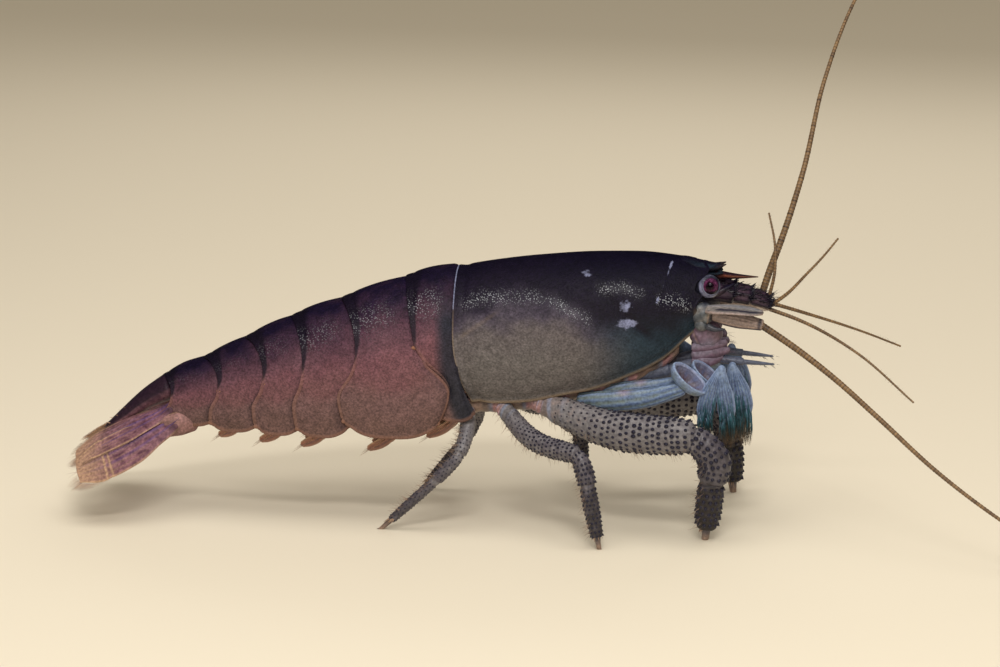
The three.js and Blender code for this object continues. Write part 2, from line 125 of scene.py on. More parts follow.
def near(x, centre, reach):
    """A soft bump of height 1 at centre that falls away over reach."""
    return np.exp(-((x - centre) / reach) ** 2)


def turn_angles(count):
    """Angles spread evenly over a whole turn."""
    return linspace(0, 2 * math.pi, count, endpoint=False)


back_height = curve_through([
    (-47, 21.5), (-39.8, 24.4), (-33.2, 27.7), (-25.8, 31.2), (-17.9, 34.2), (-7.8, 37.8),
    (0, 39.9), (6.5, 41.1), (12.8, 41.9), (22.1, 42.6), (28.2, 42.7), (34.9, 42.1), (39, 41.2),
])
half_width = curve_through([
    (-47, 4.1), (-43, 4.7), (-38, 5.7), (-31, 7.0), (-24, 8.1), (-14, 9.0), (-4, 9.1),
    (4, 9.4), (14, 9.6), (24, 9.0), (31, 7.6), (35, 6.2), (39, 4.9),
])
carapace_edge = curve_through([
    (0, 20.0), (10.2, 20.5), (16.4, 21.7), (22.5, 23.0), (28.6, 25.2), (32.4, 27.3), (35.4, 30.0),
    (38.4, 32.6),
])
# The line along which the carapace's dark back gives way to its paler side.
shoulder = curve_through([(0, 32.5), (6, 34.5), (13, 35.6), (20, 34.0), (24, 32.4), (31, 31.8), (37, 31.0)])


# ---------------------------------------------------------------- meshes
class Form:
    """Grows one piece out of grids and strands, with marks on every vertex for its material to read."""

    def __init__(self):
        self.points, self.faces, self.marks, self.size = [], [], {}, 0

    def add(self, points, faces, **marks):
        """Adds loose geometry. A mark is one number, or one number for each point."""
        count = len(points)
        for name in set(marks) - set(self.marks):
            self.marks[name] = [np.zeros(self.size)]
        for name, parts in self.marks.items():
            parts.append(np.broadcast_to(np.asarray(marks.get(name, 0.0), float).ravel(), (count,)))
        self.points.append(np.asarray(points, float).reshape(-1, 3))
        self.faces.extend(tuple(self.size + i for i in face) for face in faces)
        self.size += count

    def add_grid(self, grid, closed=True, capped=True, **marks):
        """Adds a grid of rows of points. closed joins each row's ends, capped closes the end rows."""
        rows, columns = grid.shape[:2]
        indices = np.arange(rows * columns).reshape(rows, columns)
        here = indices[:, :columns if closed else columns - 1]
        beside = np.roll(indices, -1, axis=1)[:, :here.shape[1]]
        corners = [here[:-1], beside[:-1], beside[1:], here[1:]]
        faces = np.stack(corners, axis=-1).reshape(-1, 4).tolist()
        if capped:
            faces.append(tuple(range(columns - 1, -1, -1)))
            faces.append(tuple((rows - 1) * columns + c for c in range(columns)))
        spread = {name: np.broadcast_to(value, (rows, columns)) for name, value in marks.items()}
        self.add(grid.reshape(-1, 3), faces, **spread)

    def build(self, name, look, slot, *nodes):
        """Makes the piece in the named look, and hides the CAD nodes that it stands for."""
        mesh = bpy.data.meshes.new(name)
        mesh.from_pydata(place(np.vstack(self.points)).tolist(), [], self.faces)
        for mark, parts in self.marks.items():
            mesh.attributes.new(mark, "FLOAT", "POINT").data.foreach_set("value", np.concatenate(parts))
        mesh.materials.append(LOOKS[look])
        mesh.validate()
        mesh.update()
        mesh.shade_smooth()
        piece = bpy.data.objects.new(name, mesh)
        bpy.context.scene.collection.objects.link(piece)
        turn_outwards(mesh)
        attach(piece, "root")
        if nodes:
            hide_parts(*nodes)
        return piece


def turn_outwards(mesh):
    """Makes every shell of the mesh face outwards."""
    work = bmesh.new()
    work.from_mesh(mesh)
    bmesh.ops.recalc_face_normals(work, faces=work.faces)
    work.to_mesh(mesh)
    work.free()


def normals_of(grid, closed=False):
    """Unit normals of a grid of points, by differences between neighbours."""
    along = np.gradient(grid, axis=0)
    if closed:
        across = (np.roll(grid, -1, axis=1) - np.roll(grid, 1, axis=1)) / 2
    else:
        across = np.gradient(grid, axis=1)
    normal = np.cross(along, across)
    return normal / np.maximum(np.linalg.norm(normal, axis=2, keepdims=True), 1e-9)


def path_through(points, count):
    """count points and unit tangents, evenly spread along a smooth path through the given points."""
    points = np.asarray(points, float)
    steps = np.concatenate([[0], np.cumsum(np.linalg.norm(np.diff(points, axis=0), axis=1))])
    if len(points) > 2:
        slopes = np.gradient(points, steps, axis=0)
    else:
        slopes = np.repeat(np.diff(points, axis=0) / steps[-1], 2, 0)
    s = linspace(0, steps[-1], count)
    i = clip(np.searchsorted(steps, s, side="right") - 1, 0, len(points) - 2)
    span = (steps[i + 1] - steps[i])[:, None]
    t = (s[:, None] - steps[i][:, None]) / span
    path = (
        points[i] * (1 + 2 * t) * (1 - t) ** 2 + points[i + 1] * t * t * (3 - 2 * t)
        + span * (slopes[i] * t * (1 - t) ** 2 - slopes[i + 1] * t * t * (1 - t))
    )
    tangents = np.gradient(path, axis=0)
    return path, tangents / np.linalg.norm(tangents, axis=1, keepdims=True)


def limb_grid(points, wide, high, side=(0, 1, 0), sides=20, steps=40, blunt=0.6, relief=None):
    """Rings of points around a smooth path. wide and high give the half sizes along the side vector and
    across it, for t from 0 to 1. blunt is how long the rounded ends are, for their half size.
    relief(t, angle) moves the surface out."""
    path, tangents = path_through(points, steps)
    t = linspace(0, 1, steps)
    angle = turn_angles(sides)
    side = np.asarray(side, float)
    across = side - tangents * (tangents @ side)[:, None]
    across /= np.linalg.norm(across, axis=1, keepdims=True)
    up = np.cross(tangents, across)
    wide_t, high_t = (np.broadcast_to(f(t), t.shape) for f in (wide, high))
    length = np.sum(np.linalg.norm(np.diff(path, axis=0), axis=1))
    for end_t, end_size in ((t, high_t[0]), (1 - t, high_t[-1])):
        inside = clip(end_t * length / (end_size * blunt), 0, 1)
        shrink = np.sqrt(clip(1 - (1 - inside) ** 2, 0.02, 1))
        wide_t, high_t = wide_t * shrink, high_t * shrink
    grid = (
        path[:, None]
        + across[:, None] * (wide_t[:, None] * cos(angle))[..., None]
        + up[:, None] * (high_t[:, None] * sin(angle))[..., None]
    )
    if relief is not None:
        outward = across[:, None] * cos(angle)[..., None] + up[:, None] * sin(angle)[..., None]
        grid = grid + outward * relief(t[:, None], angle[None, :])[..., None]
    return grid


def add_limb(form, points, wide, high=None, marks=None, **options):
    """Adds a limb segment. wide and high are functions of t, or lists of half sizes spread evenly along it.
    marks(t, angle) gives the segment's marks."""
    wide, high = (size if callable(size) else evenly(size) for size in (wide, high or wide))
    grid = limb_grid(points, wide, high, **options)
    t = linspace(0, 1, len(grid))[:, None]
    angle = turn_angles(grid.shape[1])[None, :]
    form.add_grid(grid, **(marks(t, angle) if marks else {}))
    return grid


THIRDS_OF_A_TURN = (0, 2.094, 4.189)  # in radians


def add_hair(form, root, tip, thick, sag=(0, 0, 0), steps=3, **marks):
    """Adds one three-sided tapering bristle. sag is how far its middle lies off the straight line."""
    root, tip, sag = (np.asarray(p, float) for p in (root, tip, sag))
    direction = tip - root
    side = np.cross(direction, (0.3, 0.5, 0.8))
    side /= max(np.linalg.norm(side), 1e-9)
    other = np.cross(direction / max(np.linalg.norm(direction), 1e-9), side)
    t = linspace(0, 1, steps + 1)
    spine = root + direction * t[:, None] + sag * (4 * t * (1 - t))[:, None]
    corners = [side * math.cos(a) + other * math.sin(a) for a in THIRDS_OF_A_TURN]
    reach = thick * (1 - 0.8 * t)
    grid = spine[:, None] + np.array(corners)[None] * reach[:, None, None]
    form.add_grid(grid, along=t[:, None], **marks)


def add_lump(form, centre, radii, rings=16, **marks):
    """Adds an ellipsoid."""
    lat = linspace(0.01, math.pi - 0.01, rings)
    lon = turn_angles(rings * 2)
    grid = np.stack([
        cos(lat)[:, None] * np.ones_like(lon),
        sin(lat)[:, None] * cos(lon),
        sin(lat)[:, None] * sin(lon),
    ], axis=2)
    form.add_grid(np.asarray(centre) + grid * np.asarray(radii), **marks)


def mirrored(points, side):
    """The points, moved to the animal's left (1) or right (-1)."""
    return np.asarray(points, float) * (1, side, 1)


# ---------------------------------------------------------------- materials
def srgb(*values):
    """A linear colour from 0 to 255 display values."""
    linear = [v / 255 / 12.92 if v <= 10 else ((v / 255 + 0.055) / 1.055) ** 2.4 for v in values]
    return (*linear, 1.0)


class Look:
    """A procedural material, put together one node at a time."""

    def __init__(self, name, roughness=0.4, **inputs):
        self.material = bpy.data.materials.new(name)
        self.material.use_nodes = True
        self.tree = self.material.node_tree
        self.shader = self.tree.nodes["Principled BSDF"]
        self.shader.inputs["Roughness"].default_value = roughness
        for label, value in inputs.items():
            self.shader.inputs[label.replace("_", " ")].default_value = value

    def node(self, kind, **settings):
        """Adds a node. A setting named for an input sets or links it, and others set properties."""
        node = self.tree.nodes.new(kind)
        for key, value in settings.items():
            if key in node.bl_rna.properties:
                setattr(node, key, value)
            else:
                self.feed(node.inputs[int(key[1:]) if key[0] == "_" else key.replace("_", " ")], value)
        return node

    def feed(self, socket, value):
        """Sets an input to a value, or links an output to it."""
        if isinstance(value, bpy.types.NodeSocket):
            self.tree.links.new(value, socket)
        else:
            socket.default_value = value

    def mark(self, name):
        """A vertex mark that the piece carries."""
        return self.node("ShaderNodeAttribute", attribute_name=name).outputs["Fac"]

    def math(self, operation, *values):
        """Arithmetic on one to three numbers."""
        node = self.node("ShaderNodeMath", operation=operation)
        for socket, value in zip(node.inputs, values):
            self.feed(socket, value)
        return node.outputs[0]

    def noise(self, scale, detail):
        """Cloudy noise between 0 and 1. scale is in features per metre."""
        return self.node(
            "ShaderNodeTexNoise", Vector=self.coordinates(), Scale=scale, Detail=detail, Roughness=0.55,
        ).outputs[0]

    def cells(self, scale):
        """Distance to the nearest of many scattered points."""
        node = self.node("ShaderNodeTexVoronoi", Vector=self.coordinates(), Scale=scale)
        return node.outputs["Distance"]

    def coordinates(self):
        """The object's own coordinates, in metres."""
        if not hasattr(self, "_coordinates"):
            self._coordinates = self.node("ShaderNodeTexCoord").outputs["Object"]
        return self._coordinates

    def mix(self, factor, first, second):
        """The first colour where factor is 0, and the second where it is 1."""
        node = self.node("ShaderNodeMix", data_type="RGBA")
        for socket, value in zip((node.inputs[0], node.inputs[6], node.inputs[7]), (factor, first, second)):
            self.feed(socket, value)
        return node.outputs[2]

    def ramp(self, factor, *stops):
        """A colour ramp through stops. Each is its position and its three display values."""
        node = self.node("ShaderNodeValToRGB", Fac=factor)
        for _ in stops[2:]:
            node.color_ramp.elements.new(0.5)
        for element, (position, *color) in zip(node.color_ramp.elements, stops):
            element.position, element.color = position, srgb(*color)
        return node.outputs[0]

    def span(self, value, low, high, start=0.0, end=1.0):
        """value, moved from low..high to start..end and kept there."""
        return self.node(
            "ShaderNodeMapRange", Value=value, From_Min=low, From_Max=high, To_Min=start, To_Max=end,
        ).outputs[0]

    def scaled(self, color, factor):
        """The colour made brighter or darker by a factor."""
        return self.node("ShaderNodeVectorMath", operation="SCALE", _0=color, Scale=factor).outputs[0]

    def stained(self, shade, **stains):
        """The shade with each named mark's colour laid over it."""
        for mark, stain in stains.items():
            shade = self.mix(self.mark(mark), shade, stain)
        return shade

    def grained(self, shade, scale, low, high):
        """The shade with a fine grain that goes from low to high times its brightness."""
        return self.scaled(shade, self.span(self.noise(scale, 2), 0.32, 0.68, low, high))

    def color(self, value):
        """Sets the surface colour."""
        self.feed(self.shader.inputs["Base Color"], value)

    def bump(self, *layers):
        """Raises the surface by (height, distance in millimetres) layers."""
        normal = None
        for height, distance in layers:
            node = self.node("ShaderNodeBump", Height=height, Distance=distance * MM, Strength=1.0)
            if normal is not None:
                self.feed(node.inputs["Normal"], normal)
            normal = node.outputs[0]
        self.feed(self.shader.inputs["Normal"], normal)


PITS_AND_GLINTS = 3300  # pits in the shell, and the painted pale glints in its wet streaks, per metre


def shell_look(name, stops, rim, warm):
    """Wet shell: dark along the back, paler down the side, finely pitted, glossy in places with painted
    glints.
    """
    look = Look(name, roughness=0.6, Specular_IOR_Level=0.24)
    drift = look.span(look.noise(240, 4), 0.3, 0.7, -0.08, 0.08)
    shade = look.ramp(look.math("ADD", look.mark("height"), drift), *stops)
    shade = look.stained(shade, warm=warm, cool=srgb(34, 54, 66), dark=srgb(15, 9, 24))
    wobble = look.span(look.noise(1300, 4), 0.3, 0.7, -0.22, 0.22)
    ragged = look.span(look.math("ADD", look.mark("spot"), wobble), 0.42, 0.66, 0.0, 0.85)
    shade = look.mix(ragged, shade, srgb(116, 120, 148))
    shade = look.grained(shade, 3000, 0.66, 1.36)
    shade = look.grained(shade, 800, 0.84, 1.16)
    shade = look.mix(look.mark("rim"), shade, rim)
    patchy = look.span(look.noise(420, 3), 0.36, 0.6, 0.3, 1.0)
    # painted highlight: in the wet streaks, pale specks mixed into the colour stand in for sparkle, and the
    # roughness is lower
    glossy = look.math("MULTIPLY", look.mark("gloss"), patchy)
    painted_glints = look.math("MULTIPLY", glossy, look.span(look.cells(PITS_AND_GLINTS), 0.42, 0.2, 0.0, 0.62))
    look.color(look.mix(painted_glints, shade, srgb(190, 194, 202)))
    look.feed(look.shader.inputs["Roughness"], look.span(glossy, 0.0, 1.0, 0.62, 0.32))
    pits = look.span(look.cells(PITS_AND_GLINTS), 0.1, 0.55)
    look.bump((pits, 0.05), (look.noise(1100, 4), 0.05))
    return look.material


def limb_look(name, stops, roughness=0.42, fine=2400, relief=(0.05, 0.08)):
    """Leg cuticle: its tone mark runs through the stops, with blue ridges, pink skin and dark knobs."""
    look = Look(name, roughness=roughness, Specular_IOR_Level=0.45)
    drift = look.span(look.noise(900, 4), 0.3, 0.7, -0.14, 0.14)
    shade = look.ramp(look.math("ADD", look.mark("tone"), drift), *stops)
    shade = look.stained(shade, blue=srgb(136, 152, 184), pink=srgb(182, 124, 128), rim=srgb(172, 140, 112))
    shade = look.grained(shade, fine, 0.72, 1.28)
    look.color(look.mix(look.mark("dark"), shade, srgb(17, 16, 40)))
    look.bump((look.noise(fine, 3), relief[0]), (look.noise(700, 3), relief[1]))
    return look.material


def tail_look():
    """Tail fan: purple-brown blades with fine violet ribs and tan, thin margins."""
    look = Look("tail", roughness=0.55, Specular_IOR_Level=0.25)
    shade = look.mix(look.span(look.noise(700, 4), 0.35, 0.65), srgb(88, 54, 68), srgb(134, 94, 102))
    shade = look.stained(shade, rib=srgb(92, 70, 116), rim=srgb(172, 138, 110), dark=srgb(34, 20, 34))
    look.color(look.grained(shade, 2600, 0.66, 1.22))
    look.bump((look.noise(2200, 3), 0.05))
    return look.material


def bristle_look():
    """Bristles: blue-grey at the root, dark teal in the middle, brown at the tip."""
    look = Look("bristle", roughness=0.45)
    stops = [(0.0, 104, 116, 140), (0.25, 40, 86, 96), (0.6, 24, 54, 62), (1.0, 112, 88, 64)]
    look.color(look.grained(look.ramp(look.mark("along"), *stops), 1500, 0.6, 1.5))
    return look.material


def feeler_look():
    """Feelers: brown, with a dark band at the end of each of the many short joints."""
    look = Look("feeler", roughness=0.45, Specular_IOR_Level=0.4)
    shade = look.mix(look.span(look.noise(900, 3), 0.35, 0.65), srgb(132, 104, 70), srgb(98, 76, 54))
    shade = look.stained(shade, band=srgb(38, 28, 26), dark=srgb(36, 26, 32))
    look.color(look.grained(shade, 3000, 0.8, 1.2))
    look.bump((look.noise(2600, 3), 0.03))
    return look.material


def eye_look():
    """The eye: glassy plum, darker at its edge, with a nearly black middle and painted shade below."""
    look = Look("eye", roughness=0.22, Specular_IOR_Level=0.15)
    stops = [
        (0.5, 18, 10, 22), (0.66, 32, 15, 32), (0.73, 70, 34, 62), (0.86, 84, 42, 70),
        (0.935, 56, 22, 44), (0.958, 16, 6, 14), (1.0, 5, 2, 6),
    ]
    drift = look.span(look.noise(2600, 3), 0.3, 0.7, -0.035, 0.035)
    shade = look.ramp(look.math("ADD", look.mark("pole"), drift), *stops)
    # painted shade: the dark mark darkens the lower part of the eye
    shade = look.stained(shade, dark=srgb(9, 4, 11))
    look.color(look.grained(shade, 4200, 0.3, 1.6))
    return look.material


LIMB_LOOKS = {  # the tone stops of each look, and what sets it apart from a plain limb
    "limb": dict(stops=[(0.0, 142, 122, 116), (0.35, 114, 110, 112), (0.65, 78, 73, 80), (1.0, 30, 24, 25)]),
    "antennule": dict(stops=[(0.0, 92, 74, 82), (0.4, 56, 38, 52), (0.75, 34, 20, 34), (1.0, 18, 10, 22)]),
    "antenna": dict(
        stops=[(0.0, 146, 132, 122), (0.35, 116, 110, 106), (0.65, 80, 84, 88), (1.0, 36, 38, 48)],
    ),
    "fan": dict(stops=[(0.0, 110, 122, 120), (0.4, 102, 120, 146), (0.7, 78, 96, 134), (1.0, 60, 48, 56)]),
    "skin": dict(stops=[(0.0, 140, 112, 98), (0.5, 116, 100, 92), (1.0, 74, 58, 60)], fine=1600),
    "mouth": dict(
        stops=[(0.0, 124, 116, 132), (0.5, 104, 82, 98), (1.0, 48, 30, 44)], fine=2000, relief=(0.012, 0.01),
    ),
    "stalk": dict(
        stops=[(0.0, 140, 140, 166), (0.4, 100, 102, 124), (0.7, 54, 56, 70), (1.0, 24, 18, 32)],
        roughness=0.3,
    ),
    "swimmeret": dict(stops=[(0.0, 160, 106, 84), (0.6, 124, 80, 70), (1.0, 84, 54, 56)]),
}
LOOKS = {
    "shell": shell_look(
        "shell",
        [
            (0.0, 94, 89, 88), (0.28, 88, 81, 82), (0.43, 64, 57, 68), (0.54, 36, 29, 43),
            (0.66, 19, 12, 29), (1.0, 11, 7, 25),
        ],
        rim=srgb(146, 124, 98), warm=srgb(96, 42, 22),
    ),
    "abdomen": shell_look(
        "abdomen",
        [
            (0.0, 98, 74, 68), (0.3, 104, 78, 78), (0.55, 96, 66, 76), (0.74, 70, 43, 56),
            (0.88, 47, 28, 46), (1.0, 20, 11, 36),
        ],
        rim=srgb(142, 100, 78), warm=srgb(114, 68, 72),
    ),
    **{name: limb_look(name, **settings) for name, settings in LIMB_LOOKS.items()},
    "tail": tail_look(),
    "bristle": bristle_look(),
    "feeler": feeler_look(),
    "eye": eye_look(),
}


# ---------------------------------------------------------------- body
def shell_points(x, turn, low_edge, tuck, proud=0.0):
    """Points of the body's shell. turn runs from -1 at the right lower edge, over the back, to 1."""
    share = np.minimum(abs(turn), 1)
    top = back_height(x)
    widest = low_edge + WIDEST_LEVEL * (top - low_edge)
    half = half_width(x) + proud
    over = clip((1 - share / BACK_SHARE) * math.pi / 2, 0, math.pi / 2)
    under = clip(tuck * (share - BACK_SHARE) / (1 - BACK_SHARE), 0, tuck)
    y = np.where(share <= BACK_SHARE, half * cos(over) ** ROUNDNESS, half * cos(under))
    z = np.where(
        share <= BACK_SHARE,
        widest + (top + proud - widest) * sin(over) ** ROUNDNESS,
        widest - (widest - low_edge) * sin(under) / math.sin(tuck),
    )
    x, y, z = np.broadcast_arrays(x, np.sign(turn) * y, z)
    return np.stack([x, y, z], axis=-1)


def add_sheet(form, outer, thick, **marks):
    """Adds a thin closed plate under a grid of outer points. thick may vary over the grid."""
    rows, columns = outer.shape[:2]
    inner = outer - normals_of(outer) * np.broadcast_to(thick, (rows, columns))[..., None]
    grid = np.arange(rows * columns).reshape(rows, columns)
    corners = [grid[:-1, :-1], grid[:-1, 1:], grid[1:, 1:], grid[1:, :-1]]
    outside = np.stack(corners, axis=-1).reshape(-1, 4)
    faces = [*outside[:, ::-1].tolist(), *(outside + rows * columns).tolist()]
    border = [*grid[0, :-1], *grid[:-1, -1], *grid[-1, :0:-1], *grid[:0:-1, 0]]
    for a, b in zip(border, border[1:] + border[:1]):
        faces.append((b, a, a + rows * columns, b + rows * columns))
    spread = {}
    for name, value in marks.items():
        spread[name] = np.tile(np.broadcast_to(value, (rows, columns)).ravel(), 2)
    form.add(np.concatenate([outer.reshape(-1, 3), inner.reshape(-1, 3)]), faces, **spread)


def outwards(grid):
    """Unit normals of a grid over the body, on the outer side."""
    normals = normals_of(grid)
    inward = ((grid - grid.mean(axis=1, keepdims=True)) * normals).sum(axis=2).mean() < 0
    return -normals if inward else normals


def denser_ends(count, both=True):
    """Values from 0 to 1, closer together towards 1, or towards both ends."""
    s = linspace(0, 1, count)
    return s - 0.1 * sin(2 * math.pi * s) if both else s + 0.16 * sin(math.pi * s)


def over_the_back(count):
    """Values from -1 to 1 for going round the shell, closer together towards the lower edges."""
    half = denser_ends(count // 2 + 1, both=False)
    return np.concatenate([-half[:0:-1], half])[None, :]


SPOTS = (  # the pale spots on the carapace: x, z, their reach each way, and how strong they are
    (20.3, 40.5, 1.15, 0.65, 0.66), (26.3, 36.0, 1.15, 1.15, 0.8), (26.5, 33.3, 1.8, 0.85, 1.0),
    (36.3, 28.9, 0.55, 0.5, 1.0),
)


GLOSS_AND_GLINT_ARCS = (  # the wet streaks on the carapace, with painted glints: each one's (x, z) line and its reach up and down
    ([(1.6, 35.7), (4.1, 36.8), (7.2, 36.9), (10.2, 37.1), (13.3, 36.9), (16.3, 36.1), (20.3, 34.1)], 0.85),
    ([(22.2, 38.5), (25.4, 38.7), (28.4, 37.7)], 0.7),
    ([(31.8, 36.8), (33.6, 36.5), (35.4, 35.8)], 0.9),
)


def carapace():
    """The shell over head and chest."""
    t = denser_ends(200)[:, None]
    turn = over_the_back(200)
    share = abs(turn)
    rear = curve_through(list(zip(EDGE_SHARES, RING_EDGES[0])))(share)
    front = curve_through([
        (0, 38.2), (0.2, 38.9), (0.3, 38.5), (0.38, 37.2), (0.46, 36.8), (0.54, 37.9), (0.62, 37.0),
        (0.72, 37.2), (0.86, 38.2), (1, 37.9),
    ])(share)
    x = rear + (front - rear) * t
    low = carapace_edge(x)
    grid = shell_points(x, turn, low, CARAPACE_TUCK)
    z = grid[..., 2]
    normals = outwards(grid)
    ridge = shoulder(x)
    flank = smoothstep(ridge + 2.2, ridge - 1.6, z)
    branchial = flank * smoothstep(27, 20, x) * smoothstep(0, 4, x - rear)
    groove = near(z - 38.5 + (x - 22.0) * 0.9, 0, 0.9) * smoothstep(20, 23, x) * smoothstep(33, 29, x)
    rear_groove = near(z - 30.9 - 0.68 * (x - 1.0), 0, 0.3) * smoothstep(0.5, 1.5, x) * smoothstep(8, 5, x)
    hepatic = near(x, 31.5, 3.2) * near(z, 34.8, 2.2)
    cheek = near(x, 35.0, 2.0) * near(z, 35.6, 1.2)
    low_crease = near(z - low, 1.0, 0.35) * smoothstep(0.8, 0.9, share)
    line = near(x - 30.9 - 0.42 * (z - 36.3), 0, 0.2)
    ticks = line * np.maximum(near(z, 41.5, 0.5), 0.7 * near(z, 36.7, 0.4))
    line = line * smoothstep(35.6, 36.6, z) * smoothstep(42.0, 41.0, z)
    rear_rim = smoothstep(1.0, 0.3, x - rear)
    low_rim = smoothstep(0.6, 0.15, z - low) * smoothstep(0.8, 0.95, share)
    front_rim = smoothstep(0.7, 0.2, front - x)
    relief = 0.45 * branchial - 0.24 * groove - 0.1 * rear_groove + 0.25 * hepatic + 0.3 * cheek
    relief = relief + 0.06 * line
    relief = relief + 0.12 * rear_rim + 0.16 * low_rim + 0.12 * front_rim - 0.12 * near(x - rear, 1.5, 0.5)
    grid = grid + normals * (relief - 0.08 * low_crease)[..., None]
    spot = sum(strength * near(x, sx, rx) * near(z, sz, rz) for sx, sz, rx, rz, strength in SPOTS)
    height = 0.5 + (z - ridge) / 17 - 0.05 * smoothstep(18, 6, x) + 0.09 * smoothstep(20, 34, x)
    back_line = smoothstep(0.3, 0.14, x - rear)
    # the wet streaks, which are less rough and carry painted glints
    gloss = sum(
        near(z - curve_through(arc)(x), 0, reach) * smoothstep(arc[0][0] - 1.2, arc[0][0], x)
        * smoothstep(arc[-1][0] + 1.2, arc[-1][0], x) for arc, reach in GLOSS_AND_GLINT_ARCS
    )
    # painted shadow: a dark band across the side of the carapace's front part
    shadow = near(z - 33.9 + 0.18 * (x - 27.5), 0, 2.2) * smoothstep(17, 23, x) * smoothstep(37, 33, x)
    form = Form()
    add_sheet(
        form, grid, SHELL_THICK, height=clip(height, 0.02, 1),
        spot=clip(spot + 1.3 * ticks + 0.42 * line + 0.8 * back_line * smoothstep(0.5, 0.3, share), 0, 1),
        cool=0.85 * smoothstep(18, 29, x) * smoothstep(35.5, 31.5, z), gloss=clip(gloss, 0, 1),
        # dark: the painted shadow, and painted shade along the groove
        dark=clip(0.72 * shadow * (1 - clip(spot, 0, 1)) + 0.5 * groove, 0, 0.9),
        rim=clip(
            0.6 * low_rim + 0.3 * back_line * smoothstep(0.3, 0.5, share)
            + 0.35 * front_rim * smoothstep(0.6, 0.75, share) + 0.16 * rear_groove, 0, 1,
        ),
    )
    form.build("carapace_shell", "shell", "shell", "carapace")


HINGES = {1: 29.1, 2: 26.4, 4: 22.5, 5: 20.9}  # the height of the pale dot where a ring's side hinges
HINGE_SIZE = (0.5, 0.3, 0.3)
RING_GLOSS_AND_GLINT = [0.8, 0.6, 0.45, 0.2, 0.1, 0.1]  # strength of the wet streak, with its painted glints, on each ring


def ring(index):
    """One ring of the abdomen: its arched plate, its belly and the dots it hinges on."""
    front_edge, rear_edge = (
        curve_through(list(zip(EDGE_SHARES, RING_EDGES[i]))) for i in (index, index + 1)
    )
    turn = over_the_back(160)
    share = abs(turn)
    tucked = 0.14 * (1 - smoothstep(0.5, 0.6, share) * (index == 1))
    t = (1 + tucked) * denser_ends(90)[:, None] - tucked
    front, rear = front_edge(share), rear_edge(share)
    span = front - rear
    x = front - span * t - 0.25 * smoothstep(0.9, 1, t) * (index < 5)
    rounding = RING_CORNER[index] * abs(2 * clip(t, 0, 1) - 1) ** 3 + 5 * clip(-t, 0, 1)
    low = RING_KEEL[index] + rounding
    lap = -0.45 * smoothstep(0.1, -0.05, t) + 0.24 * smoothstep(0.1, 1.0, t)
    if index == 5:
        lap = lap - 0.42 * smoothstep(0.5, 1.0, t)
    lap = lap + 0.34 * sin(math.pi * clip(t, 0, 1)) * smoothstep(0.6, 0.2, share)
    if index == 1:
        lap = lap + 0.55 * smoothstep(0.5, 0.62, share) * smoothstep(0.6, 0.05, t)
    if index == 0:
        lap = lap - 0.6 * smoothstep(0.5, 0.7, share) * smoothstep(0.2, 0.9, t)
    grid = shell_points(x, turn, low, PLEURON_TUCK, lap)
    z = grid[..., 2]
    normals = outwards(grid)
    from_front, from_rear = span * t, span * (1 - t)
    bottom = smoothstep(0.6, 0.2, z - low) * smoothstep(0.75, 0.9, share)
    rear_rim = smoothstep(0.34, 0.16, from_rear)
    lobe_rim = smoothstep(0.34, 0.14, from_front) * smoothstep(0.54, 0.62, share) * (index == 1)
    below = smoothstep(0.46, 0.6, share)
    dome = 0.16 * near(t, 0.5, 0.35) * near(share, 0.72, 0.2)
    relief = 0.1 * bottom + 0.1 * rear_rim * below - 0.1 * near(t, 0.9, 0.05) + dome + 0.06 * lobe_rim
    grid = grid + normals * relief[..., None]
    height = (z - low) / (back_height(x) - low)
    band = np.maximum(3.0 * (1 - share / 0.56), 0.05)
    overlap = smoothstep(band, 0.55 * band, from_rear) * smoothstep(0.56, 0.5, share)
    # the second term is painted shade along each side plate's front edge, where it meets the ring in front
    dark = 0.85 * overlap + 0.3 * below * smoothstep(1.4, 0.3, from_front) * (index > 0)
    corner = 0.7 * smoothstep(3.4, 0.8, from_rear) * smoothstep(0.82, 0.96, share) * (index == 5)
    deep = 0.3 * smoothstep(0.45, 0.25, share) * (index == 0)
    # first: painted shade, dark and teal, on the first ring's front, just behind the carapace's rear edge
    first = smoothstep(3.2, 1.0, from_front) * smoothstep(0.25, 0.45, share) * (index == 0)
    patch = near(share, 0.58, 0.1) * (0.4 + 0.4 * near(t, 0.45, 0.25))
    # the wet streak, which is less rough and carries painted glints
    gloss = near(share, 0.31, 0.07) * smoothstep(0.1, 0.6, t) * RING_GLOSS_AND_GLINT[index]
    form = Form()
    add_sheet(
        form, grid, RING_THICK, height=clip(0.02 + 0.98 * height ** 1.1, 0, 1),
        dark=clip(dark + 0.6 * first + 0.035 * index + corner + deep, 0, 0.9),
        cool=0.75 * first, gloss=gloss,
        warm=clip(patch, 0, 0.4) * (1 - overlap),
        rim=clip(0.34 * bottom + 0.22 * rear_rim * below + 0.3 * lobe_rim, 0, 0.8),
    )
    belly_x = linspace(front_edge(0.95) - 0.4, rear_edge(0.95) + 0.3, 12)[:, None]
    lean = linspace(-1, 1, 25)[None, :]
    half = half_width(belly_x) * math.cos(PLEURON_TUCK) - 0.9
    level = RING_KEEL[index] + BELLY_RISE - 0.6 + 0.7 * lean ** 2
    belly = np.stack(np.broadcast_arrays(belly_x, half * lean, level), axis=-1)
    add_sheet(form, belly, RING_THICK, height=0.1, rim=0.2)
    if index in HINGES:
        shares = linspace(0.2, 0.9, 200)
        for side in (-1, 1):
            points = shell_points(front_edge(shares), side * shares, RING_KEEL[index], PLEURON_TUCK, 0.42)
            hinge = points[np.argmin(abs(points[:, 2] - HINGES[index]))]
            add_lump(form, hinge, HINGE_SIZE, 8, height=0.3, rim=1.0)
    form.build(f"abdomen_ring_{index + 1}", "abdomen", "abdomen", f"abdomen_{index + 1}")


LEAF_BRISTLES = 40


